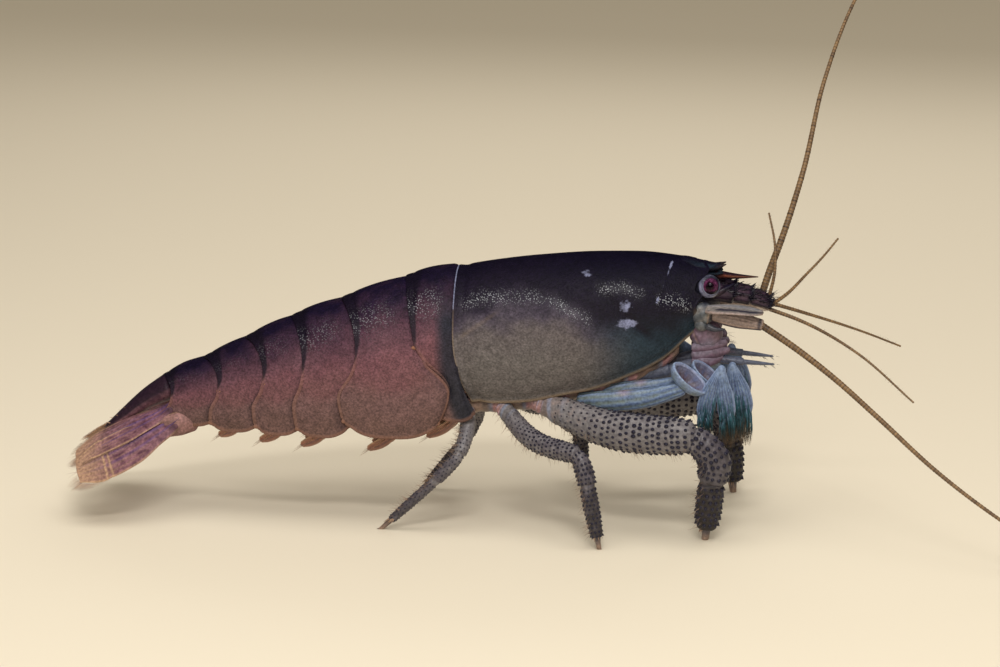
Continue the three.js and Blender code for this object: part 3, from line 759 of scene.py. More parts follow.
def swimmerets(index):
    """A ring's two swimmerets: a stout stalk with two fringed leaves that sweep back."""
    form = Form()
    middle = (RING_EDGES[index][3] + RING_EDGES[index + 1][3]) / 2 + 1.6
    shrink = 1 - 0.07 * index
    for _, side in SIDES:
        root = np.array([middle, side * 3.6 * shrink, RING_KEEL[index] + BELLY_RISE])
        knee = root + np.array([-0.9, 0, -3.9]) * shrink
        add_limb(
            form, [root, (root + knee) / 2, knee], [1.1, 1.3, 1.1], [0.9, 0.9, 0.8],
            sides=16, steps=12, marks=lambda t, a: dict(tone=0.5 - 0.4 * t),
        )
        for lean, reach in ((1.2, 7.0), (-0.9, 6.0)):
            tip = knee + np.array([-0.78 * reach, side * lean, -0.56 * reach]) * shrink
            bend = (knee + tip) / 2 + (0.2, 0, -0.6)
            add_limb(
                form, [knee, bend, tip], [0.6, 1.6, 1.9, 1.7, 0.9], [0.4, 0.3, 0.25, 0.15],
                side=(0, 0.75, 0.66 * side), sides=16, steps=24,
                marks=lambda t, a: dict(tone=0.3 + 0.5 * near(cos(a), 0, 0.15), rim=abs(cos(a)) ** 6),
            )
            for k in range(LEAF_BRISTLES):
                s = 0.25 + 0.75 * k / (LEAF_BRISTLES - 1)
                out = side * (1 if k % 2 else -1)
                edge = knee + (tip - knee) * s + (0, out * 1.4 * math.sin(math.pi * min(s, 0.95)), -0.3)
                add_hair(form, edge, edge + (-1.3, 0.5 * out, -0.7), FINE_HAIR, steps=2, rim=0.8)
    form.build(f"swimmerets_{index + 1}", "swimmeret", "underside")


# ---------------------------------------------------------------- tail fan
TELSON_BRISTLES = 60


def telson():
    """The tail's middle plate: a domed wedge with two rows of small spines and a bristly tip."""
    form = Form()
    path = [(-44.6, 0, 20.6), (-49.2, 0, 18.0), (-52.8, 0, 15.3), (-56.2, 0, 12.8)]
    add_limb(
        form, path, [3.6, 3.1, 2.6, 1.7], [2.25, 1.7, 1.2, 0.5], sides=40, steps=60,
        relief=lambda t, a: -0.22 * near(a, math.pi / 2, 0.35) * smoothstep(0.1, 0.4, t),
        marks=lambda t, a: dict(
            rim=0.5 * smoothstep(0.93, 1.0, t),
            dark=clip(0.45 - 0.35 * smoothstep(0.3, 1, t) + 0.9 * smoothstep(0.1, -0.3, sin(a)), 0, 0.95),
            rib=0.5 * near(abs(sin(a)), 1, 0.3),
        ),
    )
    centre, _ = path_through(path, 60)
    for side in (-1, 1):
        for k in range(14, 56, 8):
            spot = centre[k] + (0, side * 1.5, 1.15 - 0.012 * k)
            add_hair(form, spot, spot + (-0.8, 0, 0.15), 0.1, rim=0.8)
    for k in range(TELSON_BRISTLES):
        across = (k / (TELSON_BRISTLES - 1) - 0.5) * 2
        root = np.array([-56.0 + 0.5 * across ** 2, 1.5 * across, 12.9])
        add_hair(form, root, root + (-1.8, 0.6 * across, -1.2), FINE_HAIR, rim=0.9)
    form.build("telson_plate", "tail", "tail", "telson")


BLADE_BRISTLES = 260
BLADE_HAIR = 0.026


def tail_blade(name, node, points, widths, droop, side, suture, seed):
    """One blade of the tail fan, with fine ribs, a thin margin and a fringe of bristles."""
    form = Form()
    path, tangents = path_through(mirrored(points, side), 60)
    wide = evenly(widths)
    across = np.array([0, math.cos(droop), -side * math.sin(droop)])

    def edges(t, a):
        margin = 0.5 * smoothstep(0.86, 1.0, abs(cos(a))) + 0.75 * smoothstep(0.6, 1, t)
        stripes = 0.25 * np.maximum(cos(26 * cos(a)), 0) * smoothstep(0.2, 0.6, t)
        cuts = 0.8 * (near(t, suture, 0.008) + near(t, suture + 0.045, 0.008)) if suture else 0
        cuts = cuts * smoothstep(-0.35, -0.1, side * cos(a))
        return clip(margin + stripes + cuts, 0, 1)

    def ribs(t, a):
        raised = near(cos(a), 0.1, 0.1) + 0.8 * near(cos(a), -0.35, 0.07) + 0.6 * near(cos(a), 0.5, 0.06)
        return clip(raised * (1 - 0.6 * t), 0, 1)

    add_limb(
        form, mirrored(points, side), wide, lambda t: 0.42 - 0.24 * t + 0.9 * near(t, 0, 0.14), side=across,
        sides=80, steps=120,
        marks=lambda t, a: dict(rim=edges(t, a), rib=ribs(t, a), dark=0.5 * smoothstep(0.25, 0, t)),
        relief=lambda t, a: 0.2 * ribs(t, a) - (0.1 * near(t, suture + 0.02, 0.02) if suture else 0),
    )
    dice = np.random.default_rng(seed)
    for k in range(BLADE_BRISTLES):
        t = 0.3 + 0.7 * k / (BLADE_BRISTLES - 1)
        i = min(int(t * 59), 59)
        for edge in (-1, 1):
            if edge * side > 0 and t < 0.6 and suture:
                continue
            tip_taper = math.sqrt(max(1 - max(0, (t - 0.93) / 0.07) ** 2, 0))
            root = path[i] + across * edge * wide(t) * 0.96 * tip_taper
            out = across * edge * (1.0 - 0.5 * t) + tangents[i] * (0.7 + 1.1 * t)
            tip = root + out * dice.uniform(0.7, 1.15)
            add_hair(form, root, tip, BLADE_HAIR, steps=2, rim=dice.uniform(0.4, 1))
    if suture:
        stalk = mirrored([(-40.7, 3.9, 15.0), (-43.6, 4.9, 15.1), (-46.5, 5.2, 14.4)], side)
        add_limb(
            form, stalk, [0.9, 1.15, 1.0], [1.1, 1.9, 1.6], sides=40, steps=40,
            marks=lambda t, a: dict(
                rim=0.25 + 0.55 * near(abs(cos(a)), 0, 0.16) + 0.55 * smoothstep(0.9, 0.97, t),
                dark=0.7 * smoothstep(0.3, 0, t) * smoothstep(0.3, -0.6, sin(a)),
            ),
        )
    form.build(name, "tail", "tail", node)


INNER_BLADE = dict(
    points=[(-44.2, 3.4, 17.2), (-48.5, 4.6, 15.5), (-54.0, 5.3, 12.9), (-60.2, 5.2, 9.6)],
    widths=[1.0, 2.3, 3.2, 3.2, 1.4], droop=0.45, suture=None, seed=3,
)
OUTER_BLADE = dict(
    points=[(-43.2, 4.3, 15.9), (-47.5, 6.5, 13.9), (-53.0, 8.3, 11.0), (-59.3, 8.7, 8.0)],
    widths=[1.2, 2.4, 3.8, 4.0, 2.2], droop=0.75, suture=0.7, seed=4,
)


# ---------------------------------------------------------------- head
EYE = dict(centre=(39.1, 4.1, 38.4), radius=1.36, axis=(0.34, 0.9, 0.22), gaze=(-0.02, 0.95, 0.25))
EYE_COLLAR = [  # distance along the eye's axis, radius and tone of the pale collar round it
    (-1.7, 0.7, 0.95), (-1.3, 1.3, 0.9), (-0.9, 1.66, 0.55), (-0.5, 1.82, 0.2), (-0.15, 1.76, 0.1),
    (0.12, 1.58, 0.16), (0.3, 1.38, 0.4),
]


def unit(vector):
    """The vector at length 1."""
    vector = np.asarray(vector, float)
    return vector / np.linalg.norm(vector)


def add_lathe(form, centre, axis, profile, sides=32, long_way=(0, 0, 1), ratio=1.0, **marks):
    """Adds a turned shape. profile is (distance along the axis, radius) pairs. The radius is measured the
    long way across, and is ratio times that the other way."""
    axis = unit(axis)
    first = unit(np.asarray(long_way, float) - axis * np.dot(axis, long_way))
    second = np.cross(axis, first) * ratio
    angle = turn_angles(sides)
    profile = np.asarray(profile, float)
    rows = len(profile)
    circle = first * cos(angle)[:, None] + second * sin(angle)[:, None]
    along, around = axis * profile[:, :1, None], circle[None] * profile[:, 1][:, None, None]
    grid = np.asarray(centre, float) + along + around
    spread = {name: np.asarray(value, float).reshape(rows, -1) for name, value in marks.items()}
    form.add_grid(grid, **spread)


def eye(word, side):
    """One eye: a glassy ball whose dark middle faces outwards."""
    form = Form()
    centre, axis = mirrored(EYE["centre"], side), mirrored(EYE["gaze"], side)
    lat = linspace(0.02, math.pi - 0.02, 60)
    profile = np.stack([cos(lat), sin(lat)], axis=1) * EYE["radius"]
    # the dark mark is painted shade over the lower part of the eye
    up = cos(turn_angles(64))[None, :] * sin(lat)[:, None]
    add_lathe(
        form, centre, axis, profile, 64, pole=(cos(lat) + 1) / 2, dark=0.9 * smoothstep(-0.42, -0.7, up),
    )
    form.build(f"eyeball_{word}", "eye", "eye", f"eye_{word}")


def head():
    """The head between the eyes, with the two eyestalks and the pale collars that hold the eyes."""
    form = Form()
    add_lump(form, (37.2, 0, 34.8), (3.6, 3.4, 4.4), 24, tone=0.95)
    add_lump(form, (38.3, 0, 37.9), (2.3, 3.0, 1.9), 20, tone=1.0)
    around = turn_angles(48)[None, :]
    upper, rearward = cos(around), sin(around)
    for _, side in SIDES:
        centre, axis = mirrored(EYE["centre"], side), unit(mirrored(EYE["axis"], side))
        root = mirrored((36.4, 1.2, 37.2), side)
        add_limb(
            form, [root, (root + centre) / 2 + (-0.3, 0, 0.1), centre], [1.2, 1.5, 1.4], sides=32, steps=30,
            marks=lambda t, a: dict(tone=0.9 - 0.1 * t),
        )
        lat = linspace(-2.4, 1.6, 24)
        ring_profile = np.stack([0.36 + 0.12 * sin(lat), 1.31 + 0.11 * cos(lat)], axis=1)
        shaded = 0.55 * smoothstep(0.0, 0.8, upper) + 0.3 * smoothstep(0.2, 1.0, side * rearward)
        tone = clip(0.3 + 0.1 * (lat < -1)[:, None] + shaded, 0, 1)
        add_lathe(form, centre, axis, ring_profile, 48, tone=tone)
        collar = np.array(EYE_COLLAR)
        add_lathe(form, centre, axis, collar[:, :2], 48, tone=clip(collar[:, 2:] + shaded, 0, 1))
    form.build("head_and_eyestalks", "stalk", "underside", "head")


def rostrum():
    """The beak: a plate that runs out over the eyes into two small teeth, with a long spike under them."""
    form = Form()
    half = curve_through([(32.5, 0.2), (34.5, 1.6), (36.8, 2.7), (38.6, 2.3), (40.3, 1.5), (40.7, 1.0)])
    crown = curve_through([(37.0, 41.62), (38.4, 41.34), (39.6, 41.16), (40.7, 41.04)])
    x = linspace(32.5, 40.7, 80)[:, None]
    lean = linspace(-1, 1, 51)[None, :]
    y = half(x) * lean
    behind = np.minimum(x, 37.0)
    top = back_height(behind)
    widest = carapace_edge(behind) + WIDEST_LEVEL * (top - carapace_edge(behind))
    arch = (1 - (abs(y) / half_width(behind)) ** (2 / ROUNDNESS)) ** (ROUNDNESS / 2)
    z = widest + (top - widest) * arch + np.where(x > 37.0, crown(x) - back_height(37.0), 0)
    z = z - 0.2 + 0.3 * smoothstep(32.5, 36.0, x) - 0.35 * smoothstep(37.0, 40.3, x) * lean ** 2
    z = z + 0.12 * near(abs(lean), 0.93, 0.08) * smoothstep(34.5, 37.5, x)
    z = z + 0.06 * near(lean, 0, 0.1) * smoothstep(35, 37, x)
    plate = np.stack(np.broadcast_arrays(x, y, z), axis=-1)
    add_sheet(
        form, plate, 0.3 + 0.9 * smoothstep(36.5, 39.5, x), height=0.86,
        cool=0.5 * near(abs(lean), 0.75, 0.3) * smoothstep(34.0, 39.0, x),
    )
    spike = [(38.8, 0, 39.5), (42.6, 0, 39.15), (46.6, 0, 39.05)]
    add_limb(
        form, spike, [1.3, 0.95, 0.6, 0.35, 0.08], [0.95, 0.66, 0.46, 0.26, 0.07], sides=32, steps=50,
        marks=lambda t, a: dict(
            height=0.9, warm=0.85 * smoothstep(0.1, 0.35, t),
            rim=0.18 * near(sin(a), 0.1, 0.2) * smoothstep(0.25, 0.5, t),
            dark=0.9 * smoothstep(0.1, 0.5, abs(sin(a) - 0.1)) * smoothstep(0.1, 0.35, t),
        ),
    )
    for side in (-1, 1):
        tooth = [(38.4, side * 1.3, 40.35), (40.2, side * 1.05, 40.7), (41.6, side * 0.8, 41.2)]
        add_limb(
            form, tooth, [0.7, 0.5, 0.1], [0.45, 0.4, 0.08], sides=12, steps=24,
            marks=lambda t, a: dict(height=1.0, rim=0.1 * t ** 3),
        )
    form.build("rostrum_plate", "shell", "shell", "rostrum")


def add_bristles(form, path, radius, count, length, dice, toward, spread=0.5, thick=0.035, **marks):
    """Scatters bristles over a limb's path. toward is the way they lean."""
    path = np.asarray(path, float)
    toward = np.asarray(toward, float)
    for _ in range(count):
        s = dice.uniform(0, len(path) - 1.001)
        i = int(s)
        start = path[i] + (path[i + 1] - path[i]) * (s - i)
        out = dice.normal(size=3) * spread + toward
        root = start + unit(out) * radius * 0.9
        tip = root + unit(out + toward) * length * dice.uniform(0.5, 1.1)
        add_hair(form, root, tip, thick, steps=2, **marks)


ANTENNULE_SEED, MOUTH_SEED = 11, 5


def antennule(word, side):
    """The stem of the first feelers: three short joints, each with a comb of dark teeth at its end."""
    form = Form()
    dice = np.random.default_rng(ANTENNULE_SEED)
    joints = mirrored([(38.4, 1.7, 37.0), (43.0, 1.75, 36.6), (45.6, 1.8, 36.0), (48.5, 1.95, 34.9)], side)
    thick = [(1.4, 1.3), (1.2, 1.0), (0.9, 0.65)]
    for (start, end), (r0, r1) in zip(zip(joints, joints[1:]), thick):
        way = unit(end - start)
        add_limb(
            form, [start - way * 0.7, (start + end) / 2 + (0, 0, 0.1), end],
            [r0 * 0.8, r0, r0 * 0.96, r1 * 1.12], sides=32, steps=36, blunt=0.25,
            relief=lambda t, a: 0.07 * sin(7 * a + 3 * t) * smoothstep(0.1, 0.4, t),
            marks=lambda t, a: dict(
                tone=0.5 + 0.2 * sin(7 * a + 3 * t) + 0.35 * smoothstep(0.7, 0.92, t),
                dark=0.6 * smoothstep(-0.2, -0.9, sin(a)) + 0.2 * smoothstep(0.6, 1, sin(a)),
            ),
        )
        for k in range(13):
            lean = (k / 12 - 0.5) * 3.0
            root = end + (-0.4, r1 * math.sin(lean), r1 * math.cos(lean) - 0.1)
            tip = root + (1.0, 0.3 * math.sin(lean), 0.35 + 0.4 * math.cos(lean))
            add_hair(form, root, tip, 0.2, tone=1.0, dark=0.55)
        for _ in range(16):
            lean, s = dice.uniform(-1.4, 1.4), dice.uniform(0.1, 0.9)
            root = start + (end - start) * s + (0, r0 * math.sin(lean), r0 * math.cos(lean) - 0.05)
            add_hair(form, root, root + (0.8, 0.2 * lean, 0.35), 0.11, tone=1.0, dark=0.4)
    add_limb(
        form, mirrored([(38.9, 2.9, 36.7), (41.0, 2.7, 37.5), (42.9, 2.3, 38.5)], side), [0.9, 0.7, 0.1],
        [0.65, 0.5, 0.1], sides=16, steps=24,
        marks=lambda t, a: dict(
            tone=0.3 + 0.7 * smoothstep(0.3, 0.7, t), dark=0.6 * smoothstep(0.4, 0.8, t),
        ),
    )
    add_bristles(form, joints, 1.2, 130, 1.5, dice, (0.9, 0.4 * side, 0.1), 0.4, tone=0.95, dark=0.3)
    form.build(f"antennule_base_{word}", "antennule", "limb", f"antennule_stem_{word}")


def feeler(name, node, route, thick, tip, joint, hairs=0.0):
    """A long feeler of many short joints, each a little wider and darker at its far end."""
    path, _ = path_through(route, 400)
    length = np.sum(np.linalg.norm(np.diff(path, axis=0), axis=1))
    count = int(length / joint)
    form = Form()
    add_limb(
        form, route, lambda t: tip + (thick - tip) * (1 - t) ** 1.4, sides=10, steps=count * 5 + 1,
        side=(0.1, 1, 0.1),
        relief=lambda t, a: 0.1 * thick * (((t * count) % 1) - 0.5),
        marks=lambda t, a: dict(
            band=smoothstep(0.5, 0.9, (t * count) % 1) * (0.95 - 0.3 * t),
            dark=0.5 * near(t, 0, 0.04) + 0.45 * smoothstep(-0.4, -0.9, sin(a)),
        ),
    )
    if hairs:
        dice = np.random.default_rng(len(name))
        for k in range(8, 396, 4):
            root = path[k]
            out = unit(dice.normal(size=3))
            add_hair(form, root, root + out * hairs, 0.022, steps=2, band=0.5)
    form.build(name, "feeler", "feeler", node)


# A feeler's radius at its root and tip, the length of one of its joints, and that of its hairs.
THREAD = dict(thick=0.32, tip=0.15, joint=0.45, hairs=0.6)
WHIP = dict(tip=0.2, joint=0.55)
WHIP_THICK = {"antenna_whip_right": 0.55, "antenna_whip_left": 0.62}
FEELERS = {
    "antennule_outer_right": [
        (48.3, -2.0, 34.9), (51.1, -2.5, 37.2), (53.8, -3.0, 40.3), (56.2, -3.0, 43.0), (58.5, -3.0, 46.0),
    ],
    "antennule_inner_right": [
        (48.2, -2.0, 34.5), (53.0, -4.0, 33.2), (61.9, -9.0, 29.2), (70.0, -13.0, 22.9),
    ],
    "antennule_outer_left": [(48.2, 1.9, 35.0), (49.1, 2.5, 39.2), (49.1, 3.8, 43.2), (48.1, 6.0, 48.0)],
    "antennule_inner_left": [(48.3, 1.9, 34.6), (54.1, 3.0, 32.7), (62.8, 6.0, 29.3), (69.5, 9.5, 26.0)],
    "antenna_whip_right": [
        (46.8, -5.5, 32.9), (52.1, -8.0, 29.9), (57.9, -11.0, 26.1), (64.5, -15.0, 21.1),
        (73.0, -20.0, 14.4), (80.7, -24.0, 9.4), (88.0, -28.0, 5.6), (95.0, -31.6, 3.2), (101.0, -34.4, 2.2),
    ],
    "antenna_whip_left": [
        (46.9, 5.7, 33.6), (48.5, 7.0, 38.6), (50.2, 8.5, 43.1), (53.5, 13.0, 53.2), (56.7, 20.0, 66.4),
        (61.6, 27.0, 78.6), (66.0, 31.0, 86.0), (71.5, 35.0, 92.5),
    ],
}


def antenna(word, side):
    """The stem of the second feelers: a squat base and a long last joint with a dark cuff."""
    form = Form()
    route = {
        "right": [(39.4, -4.8, 34.0), (44.0, -5.2, 33.3), (47.4, -5.5, 32.7)],
        "left": [(39.4, 4.8, 34.2), (44.5, 5.3, 33.8), (47.4, 5.7, 33.9)],
    }[word]
    add_limb(
        form, route, [0.8, 1.1, 1.1, 0.95, 0.85], [0.8, 1.15, 1.25, 1.05, 0.8],
        sides=64, steps=80, blunt=0.4,
        relief=lambda t, a: 0.04 * sin(15 * a) * smoothstep(0.1, 0.3, t),
        marks=lambda t, a: dict(
            tone=0.16 + 0.08 * sin(15 * a) - 0.1 * smoothstep(0.94, 0.97, t),
            rim=0.15 * near(sin(a), -0.55, 0.12) + 0.3 * near(t, 0.985, 0.02),
            pink=0.12,
            dark=clip(0.85 * near(sin(a), -0.84, 0.12) + 0.8 * near(t, 0.92, 0.035), 0, 1),
        ),
    )
    base = mirrored([(36.4, 4.1, 34.2), (37.9, 4.6, 34.2), (39.6, 4.95, 34.0)], side)
    add_limb(
        form, base, [1.0, 1.35, 1.3, 1.05], [1.5, 1.8, 1.7, 1.25], sides=48, steps=48, blunt=0.35,
        relief=lambda t, a: 0.06 * sin(5 * a + 9 * t) + 0.04 * sin(13 * t - 4 * a),
        marks=lambda t, a: dict(
            tone=0.62 + 0.2 * sin(5 * a + 9 * t),
            rim=0.35 * near(t, 0.86, 0.05) * (sin(a) < 0.5),
            dark=clip(
                0.75 * near(t, 0.93, 0.05) + 0.7 * near(t, 0.6, 0.1) * near(sin(a), 0.85, 0.3)
                + 0.5 * smoothstep(0.35, 0.1, t), 0, 1,
            ),
        ),
    )
    add_lump(form, mirrored((37.9, 4.9, 32.5), side), (1.1, 0.9, 1.0), 18, tone=0.55, dark=0.1)
    spine = mirrored([(38.6, 5.5, 32.5), (40.0, 6.0, 32.1), (41.6, 6.2, 32.2)], side)
    add_limb(
        form, spine, [0.6, 0.42, 0.08], sides=12, steps=16,
        marks=lambda t, a: dict(tone=0.6, dark=0.5 + 0.4 * t),
    )
    form.build(f"antenna_base_{word}", "antenna", "limb", f"antenna_stem_{word}")


def antenna_scale(word, side):
    """The broad scale beside each feeler, with a stiff dark outer rib and a fringed inner margin."""
    form = Form()
    points = mirrored([(38.6, 5.4, 35.1), (42.6, 6.7, 35.45), (47.3, 6.9, 35.05)], side)
    across = np.array([0.15, 1, -side * 0.12])
    wide = evenly([1.2, 2.0, 2.1, 1.9, 0.8])

    def outer_edge(a, inner=0.7, outer=0.97):
        return smoothstep(inner, outer, side * cos(a))

    add_limb(
        form, points, wide, [0.5, 0.36, 0.28, 0.16], side=across, sides=64, steps=60,
        relief=lambda t, a: 0.12 * outer_edge(a) + 0.08 * near(cos(a), 0.0, 0.2) + 0.02 * sin(21 * cos(a)),
        marks=lambda t, a: dict(
            tone=0.3 + 0.1 * t + 0.1 * sin(21 * cos(a)),
            dark=clip(0.95 * near(side * cos(a), 0.55, 0.2), 0, 1) * smoothstep(0.12, 0.3, t),
            rim=0.2 * smoothstep(0.88, 1, t),
            blue=0.2 * near(cos(a), -0.2 * side, 0.3),
            pink=0.1 * outer_edge(a, 0.75, 0.95),
        ),
    )
    path, tangents = path_through(points, 60)
    for k in range(14, 60):
        root = path[k] - across * side * wide(k / 59) * 0.9
        tip = root + tangents[k] * 1.5 - across * side * 0.7
        add_hair(form, root, tip, FINE_HAIR, steps=2, tone=0.5, rim=0.5)
    form.build(f"antenna_scale_blade_{word}", "antenna", "limb", f"antenna_scale_{word}")


MAXILLIPED = [(25.8, 2.3, 22.9), (33.4, 2.4, 24.7), (40.1, 2.9, 26.6), (44.6, 2.8, 26.2), (49.3, 2.5, 25.8)]
MOUTH_PLATES = ((0.4, 5.4), (-0.7, 5.8), (-1.9, 4.8))  # each thin plate's lift and its length


def mouthparts(word, side):
    """The slender third maxilliped under the head, and the plump mandible with the soft plates below it."""
    form = Form()
    dice = np.random.default_rng(MOUTH_SEED)
    joints = mirrored(MAXILLIPED, side)
    sizes = [(1.1, 1.2), (1.1, 0.8), (0.7, 0.55), (0.52, 0.12)]
    for (start, end), (r0, r1) in zip(zip(joints, joints[1:]), sizes):
        way = unit(end - start)
        add_limb(
            form, [start - way * 0.6, (start + end) / 2, end], [r0 * 0.8, (r0 + r1) / 2, r1 * 1.05],
            sides=24, steps=30, blunt=0.3, marks=lambda t, a: dict(
                tone=0.65 + 0.15 * t, blue=0.3, dark=0.3 - 0.15 * sin(a),
            ),
        )
    path, _ = path_through(joints, 60)
    add_bristles(form, path[26:], 0.5, 70, 0.7, dice, (0.9, 0, -0.5), 0.4, 0.03, tone=0.8, dark=0.4)
    form.build(f"maxilliped_limb_{word}", "limb", "limb", f"maxilliped_{word}")

    form = Form()
    route = mirrored([(36.2, 3.0, 29.9), (38.6, 3.3, 30.8), (41.2, 3.2, 30.6)], side)
    add_limb(
        form, route, [1.2, 1.5, 1.5, 1.1], [1.6, 2.05, 2.1, 1.5], sides=56, steps=56, blunt=1.2,
        relief=lambda t, a: 0.03 * sin(9 * t + 3 * a) - 0.1 * near(t, 0.2, 0.04),
        marks=lambda t, a: dict(
            tone=0.42 + 0.3 * smoothstep(0.55, 1, t) - 0.4 * smoothstep(-0.1, -0.8, sin(a)),
            dark=0.35 * smoothstep(0.85, 1, t) + 0.25 * smoothstep(0.3, 0, t),
            rim=0.3 * near(t, 0.2, 0.03),
        ),
    )
    for lift, reach in MOUTH_PLATES:
        soft = [(36.4, 3.4, 27.9 + lift), (38.6, 3.7, 28.3 + lift), (36.6 + reach, 3.1, 28.9 + lift)]
        soft = mirrored(soft, side)
        add_limb(
            form, soft, [0.4, 0.5, 0.25], [0.85, 1.0, 0.5], sides=32, steps=40, marks=lambda t, a: dict(
                tone=0.15 + 0.45 * smoothstep(0.3, -0.7, sin(a)) + 0.15 * t,
            ),
        )
        add_bristles(form, soft, 0.6, 50, 1.3, dice, (0.8, 0, -0.3), 0.4, 0.025, tone=0.45)
    form.build(f"mandible_lobe_{word}", "mouth", "limb", f"mandible_{word}")


# ---------------------------------------------------------------- filter fans
FANS = {
    1: dict(
        arm=[(22.6, 4.2, 20.8), (27.2, 4.8, 21.7), (31.8, 5.2, 22.4), (36.4, 5.6, 24.0)],
        cup=(38.9, 5.7, 25.0), cup_size=(2.9, 1.6, 1.9),
        fingers=[
            [(42.5, 5.8, 26.4), (42.6, 5.9, 23.4), (42.7, 6.0, 20.6), (42.8, 6.0, 18.6)],
            [(42.9, 5.9, 26.4), (43.9, 6.0, 23.4), (44.6, 6.1, 20.6), (44.8, 6.1, 18.4)],
        ],
        brush=[(43.1, 6.0, 13.8), (44.9, 6.2, 13.4)],
    ),
    2: dict(
        arm=[(18.8, 5.0, 20.0), (24.0, 6.4, 20.5), (29.6, 7.5, 21.4), (35.6, 8.3, 23.3)],
        cup=(36.3, 8.5, 25.0), cup_size=(3.4, 1.9, 2.3),
        fingers=[
            [(40.8, 8.6, 26.6), (39.7, 8.7, 23.8), (38.8, 8.7, 20.6), (38.4, 8.7, 18.4)],
            [(41.2, 8.7, 26.6), (41.4, 8.8, 23.8), (41.9, 8.8, 20.6), (42.0, 8.8, 18.2)],
        ],
        brush=[(39.0, 8.5, 14.9), (42.3, 8.6, 13.9)],
    ),
}


CUP_AXIS, CUP_LONG_WAY = (0.5, 0.42, 0.66), (0.62, 0, -0.78)
BRUSH_BRISTLES = 330
BRUSH_HAIR = 0.055


def fan(number, word, side):
    """One fan leg: an arm, a wrist hollowed like a cup, and a claw whose two fingers carry long bristles."""
    parts = FANS[number]
    dice = np.random.default_rng(number * 10 + side)
    arm = Form()
    add_limb(
        arm, mirrored(parts["arm"], side), [0.85, 1.0, 1.0, 0.95, 0.7], [1.25, 1.6, 1.6, 1.35, 0.95],
        sides=64, steps=90, relief=lambda t, a: 0.06 * sin(9 * a + 5 * t) + 0.03 * sin(31 * t + 4 * a),
        marks=lambda t, a: dict(
            tone=0.16 + 0.3 * t + 0.22 * sin(9 * a + 5 * t),
            blue=clip(0.6 * near(sin(a), -0.9, 0.1) + 0.3 * near(sin(a), 0.8, 0.1), 0, 1),
            pink=0.25 * near(t, 0.45, 0.06) * smoothstep(0.3, 0.9, sin(a)),
        ),
    )
    centre, size = mirrored(parts["cup"], side), parts["cup_size"]
    outer = linspace(0.03, math.pi / 2, 22)
    inner = outer[::-1]
    profile = [(-math.cos(s), math.sin(s) ** 0.8) for s in outer]
    profile += [(0.06 + 0.06 * math.sin(3 * k), 0.97 - 0.06 * k) for k in (0.3, 1, 1.7)]
    profile += [(-0.75 * math.cos(s), 0.8 * math.sin(s)) for s in inner]
    profile = [(depth * size[2], reach * size[0]) for depth, reach in profile]
    brink = [near(s, math.pi / 2, 0.4) for s in outer] + [1, 1, 1]
    brink += [near(s, math.pi / 2, 0.55) for s in inner]
    around = sin(9 * turn_angles(72))[None, :]
    inside = np.array([0.0] * 23 + [0.5, 0.9] + [1.0] * 22)[:, None]
    add_lathe(
        arm, centre, mirrored(CUP_AXIS, side), profile, 72, long_way=CUP_LONG_WAY, ratio=size[1] / size[0],
        blue=clip(0.55 * np.array(brink)[:, None] + 0.15 * around, 0, 1),
        tone=0.35 + 0.6 * inside + 0.15 * around, pink=0.07 * inside,
    )
    arm.build(f"fan_limb_{number}_{word}", "fan", "fan", f"fan_arm_{number}_{word}")

    claw = Form()
    fingers = [mirrored(finger, side) for finger in parts["fingers"]]
    for k, finger in enumerate(fingers):
        add_limb(
            claw, finger, [0.4, 0.85, 1.3, 1.35, 0.9], [0.5, 0.65, 0.62, 0.5, 0.3], side=(1, 0, 0.2),
            sides=72, steps=70, relief=lambda t, a: 0.04 * sin(18 * a + 2 * t) * smoothstep(0.05, 0.3, t),
            marks=lambda t, a: dict(
                tone=0.5 + 0.25 * sin(18 * a + 2 * t) + 0.15 * t,
                blue=clip(0.9 * near(abs(cos(a)), 1, 0.1) + 0.4 * near(t, 0.08, 0.08), 0, 1),
                dark=0.5 * smoothstep(0.7, 1, t) + 0.3 * near(sin(18 * a + 2 * t), -1, 0.5) * t,
            ),
        )
    heel = (fingers[0][0] + fingers[1][0]) / 2
    add_lump(claw, heel + (0.05, 0, -0.4), (0.7, 0.65, 0.95), 24, tone=0.45, blue=0.35)
    claw.build(f"fan_claw_{number}_{word}", "fan", "fan", f"fan_{number}_{word}")

    brush = Form()
    for finger, end in zip(fingers, mirrored(parts["brush"], side)):
        for _ in range(BRUSH_BRISTLES):
            s = dice.uniform(0.35, 1.0)
            i = min(int(s * 3), 2)
            start = finger[i] + (finger[i + 1] - finger[i]) * (s * 3 - i)
            off = dice.uniform(-1, 1, size=2)
            root = start + (0.95 * off[0], 0.5 * off[1], 0)
            drift = dice.normal(size=3)
            aside = (0.65 * off[0] + 0.2 * drift[0], 0.3 * off[1] + 0.15 * drift[1])
            tip = end + (*aside, 4.0 * (1 - s) + 0.7 * abs(drift[2]))
            add_hair(brush, root, tip, BRUSH_HAIR, sag=(0.3 * off[0], 0.35 * off[1], 0), steps=5)
    brush.build(f"fan_brush_{number}_{word}", "bristle", "fan")


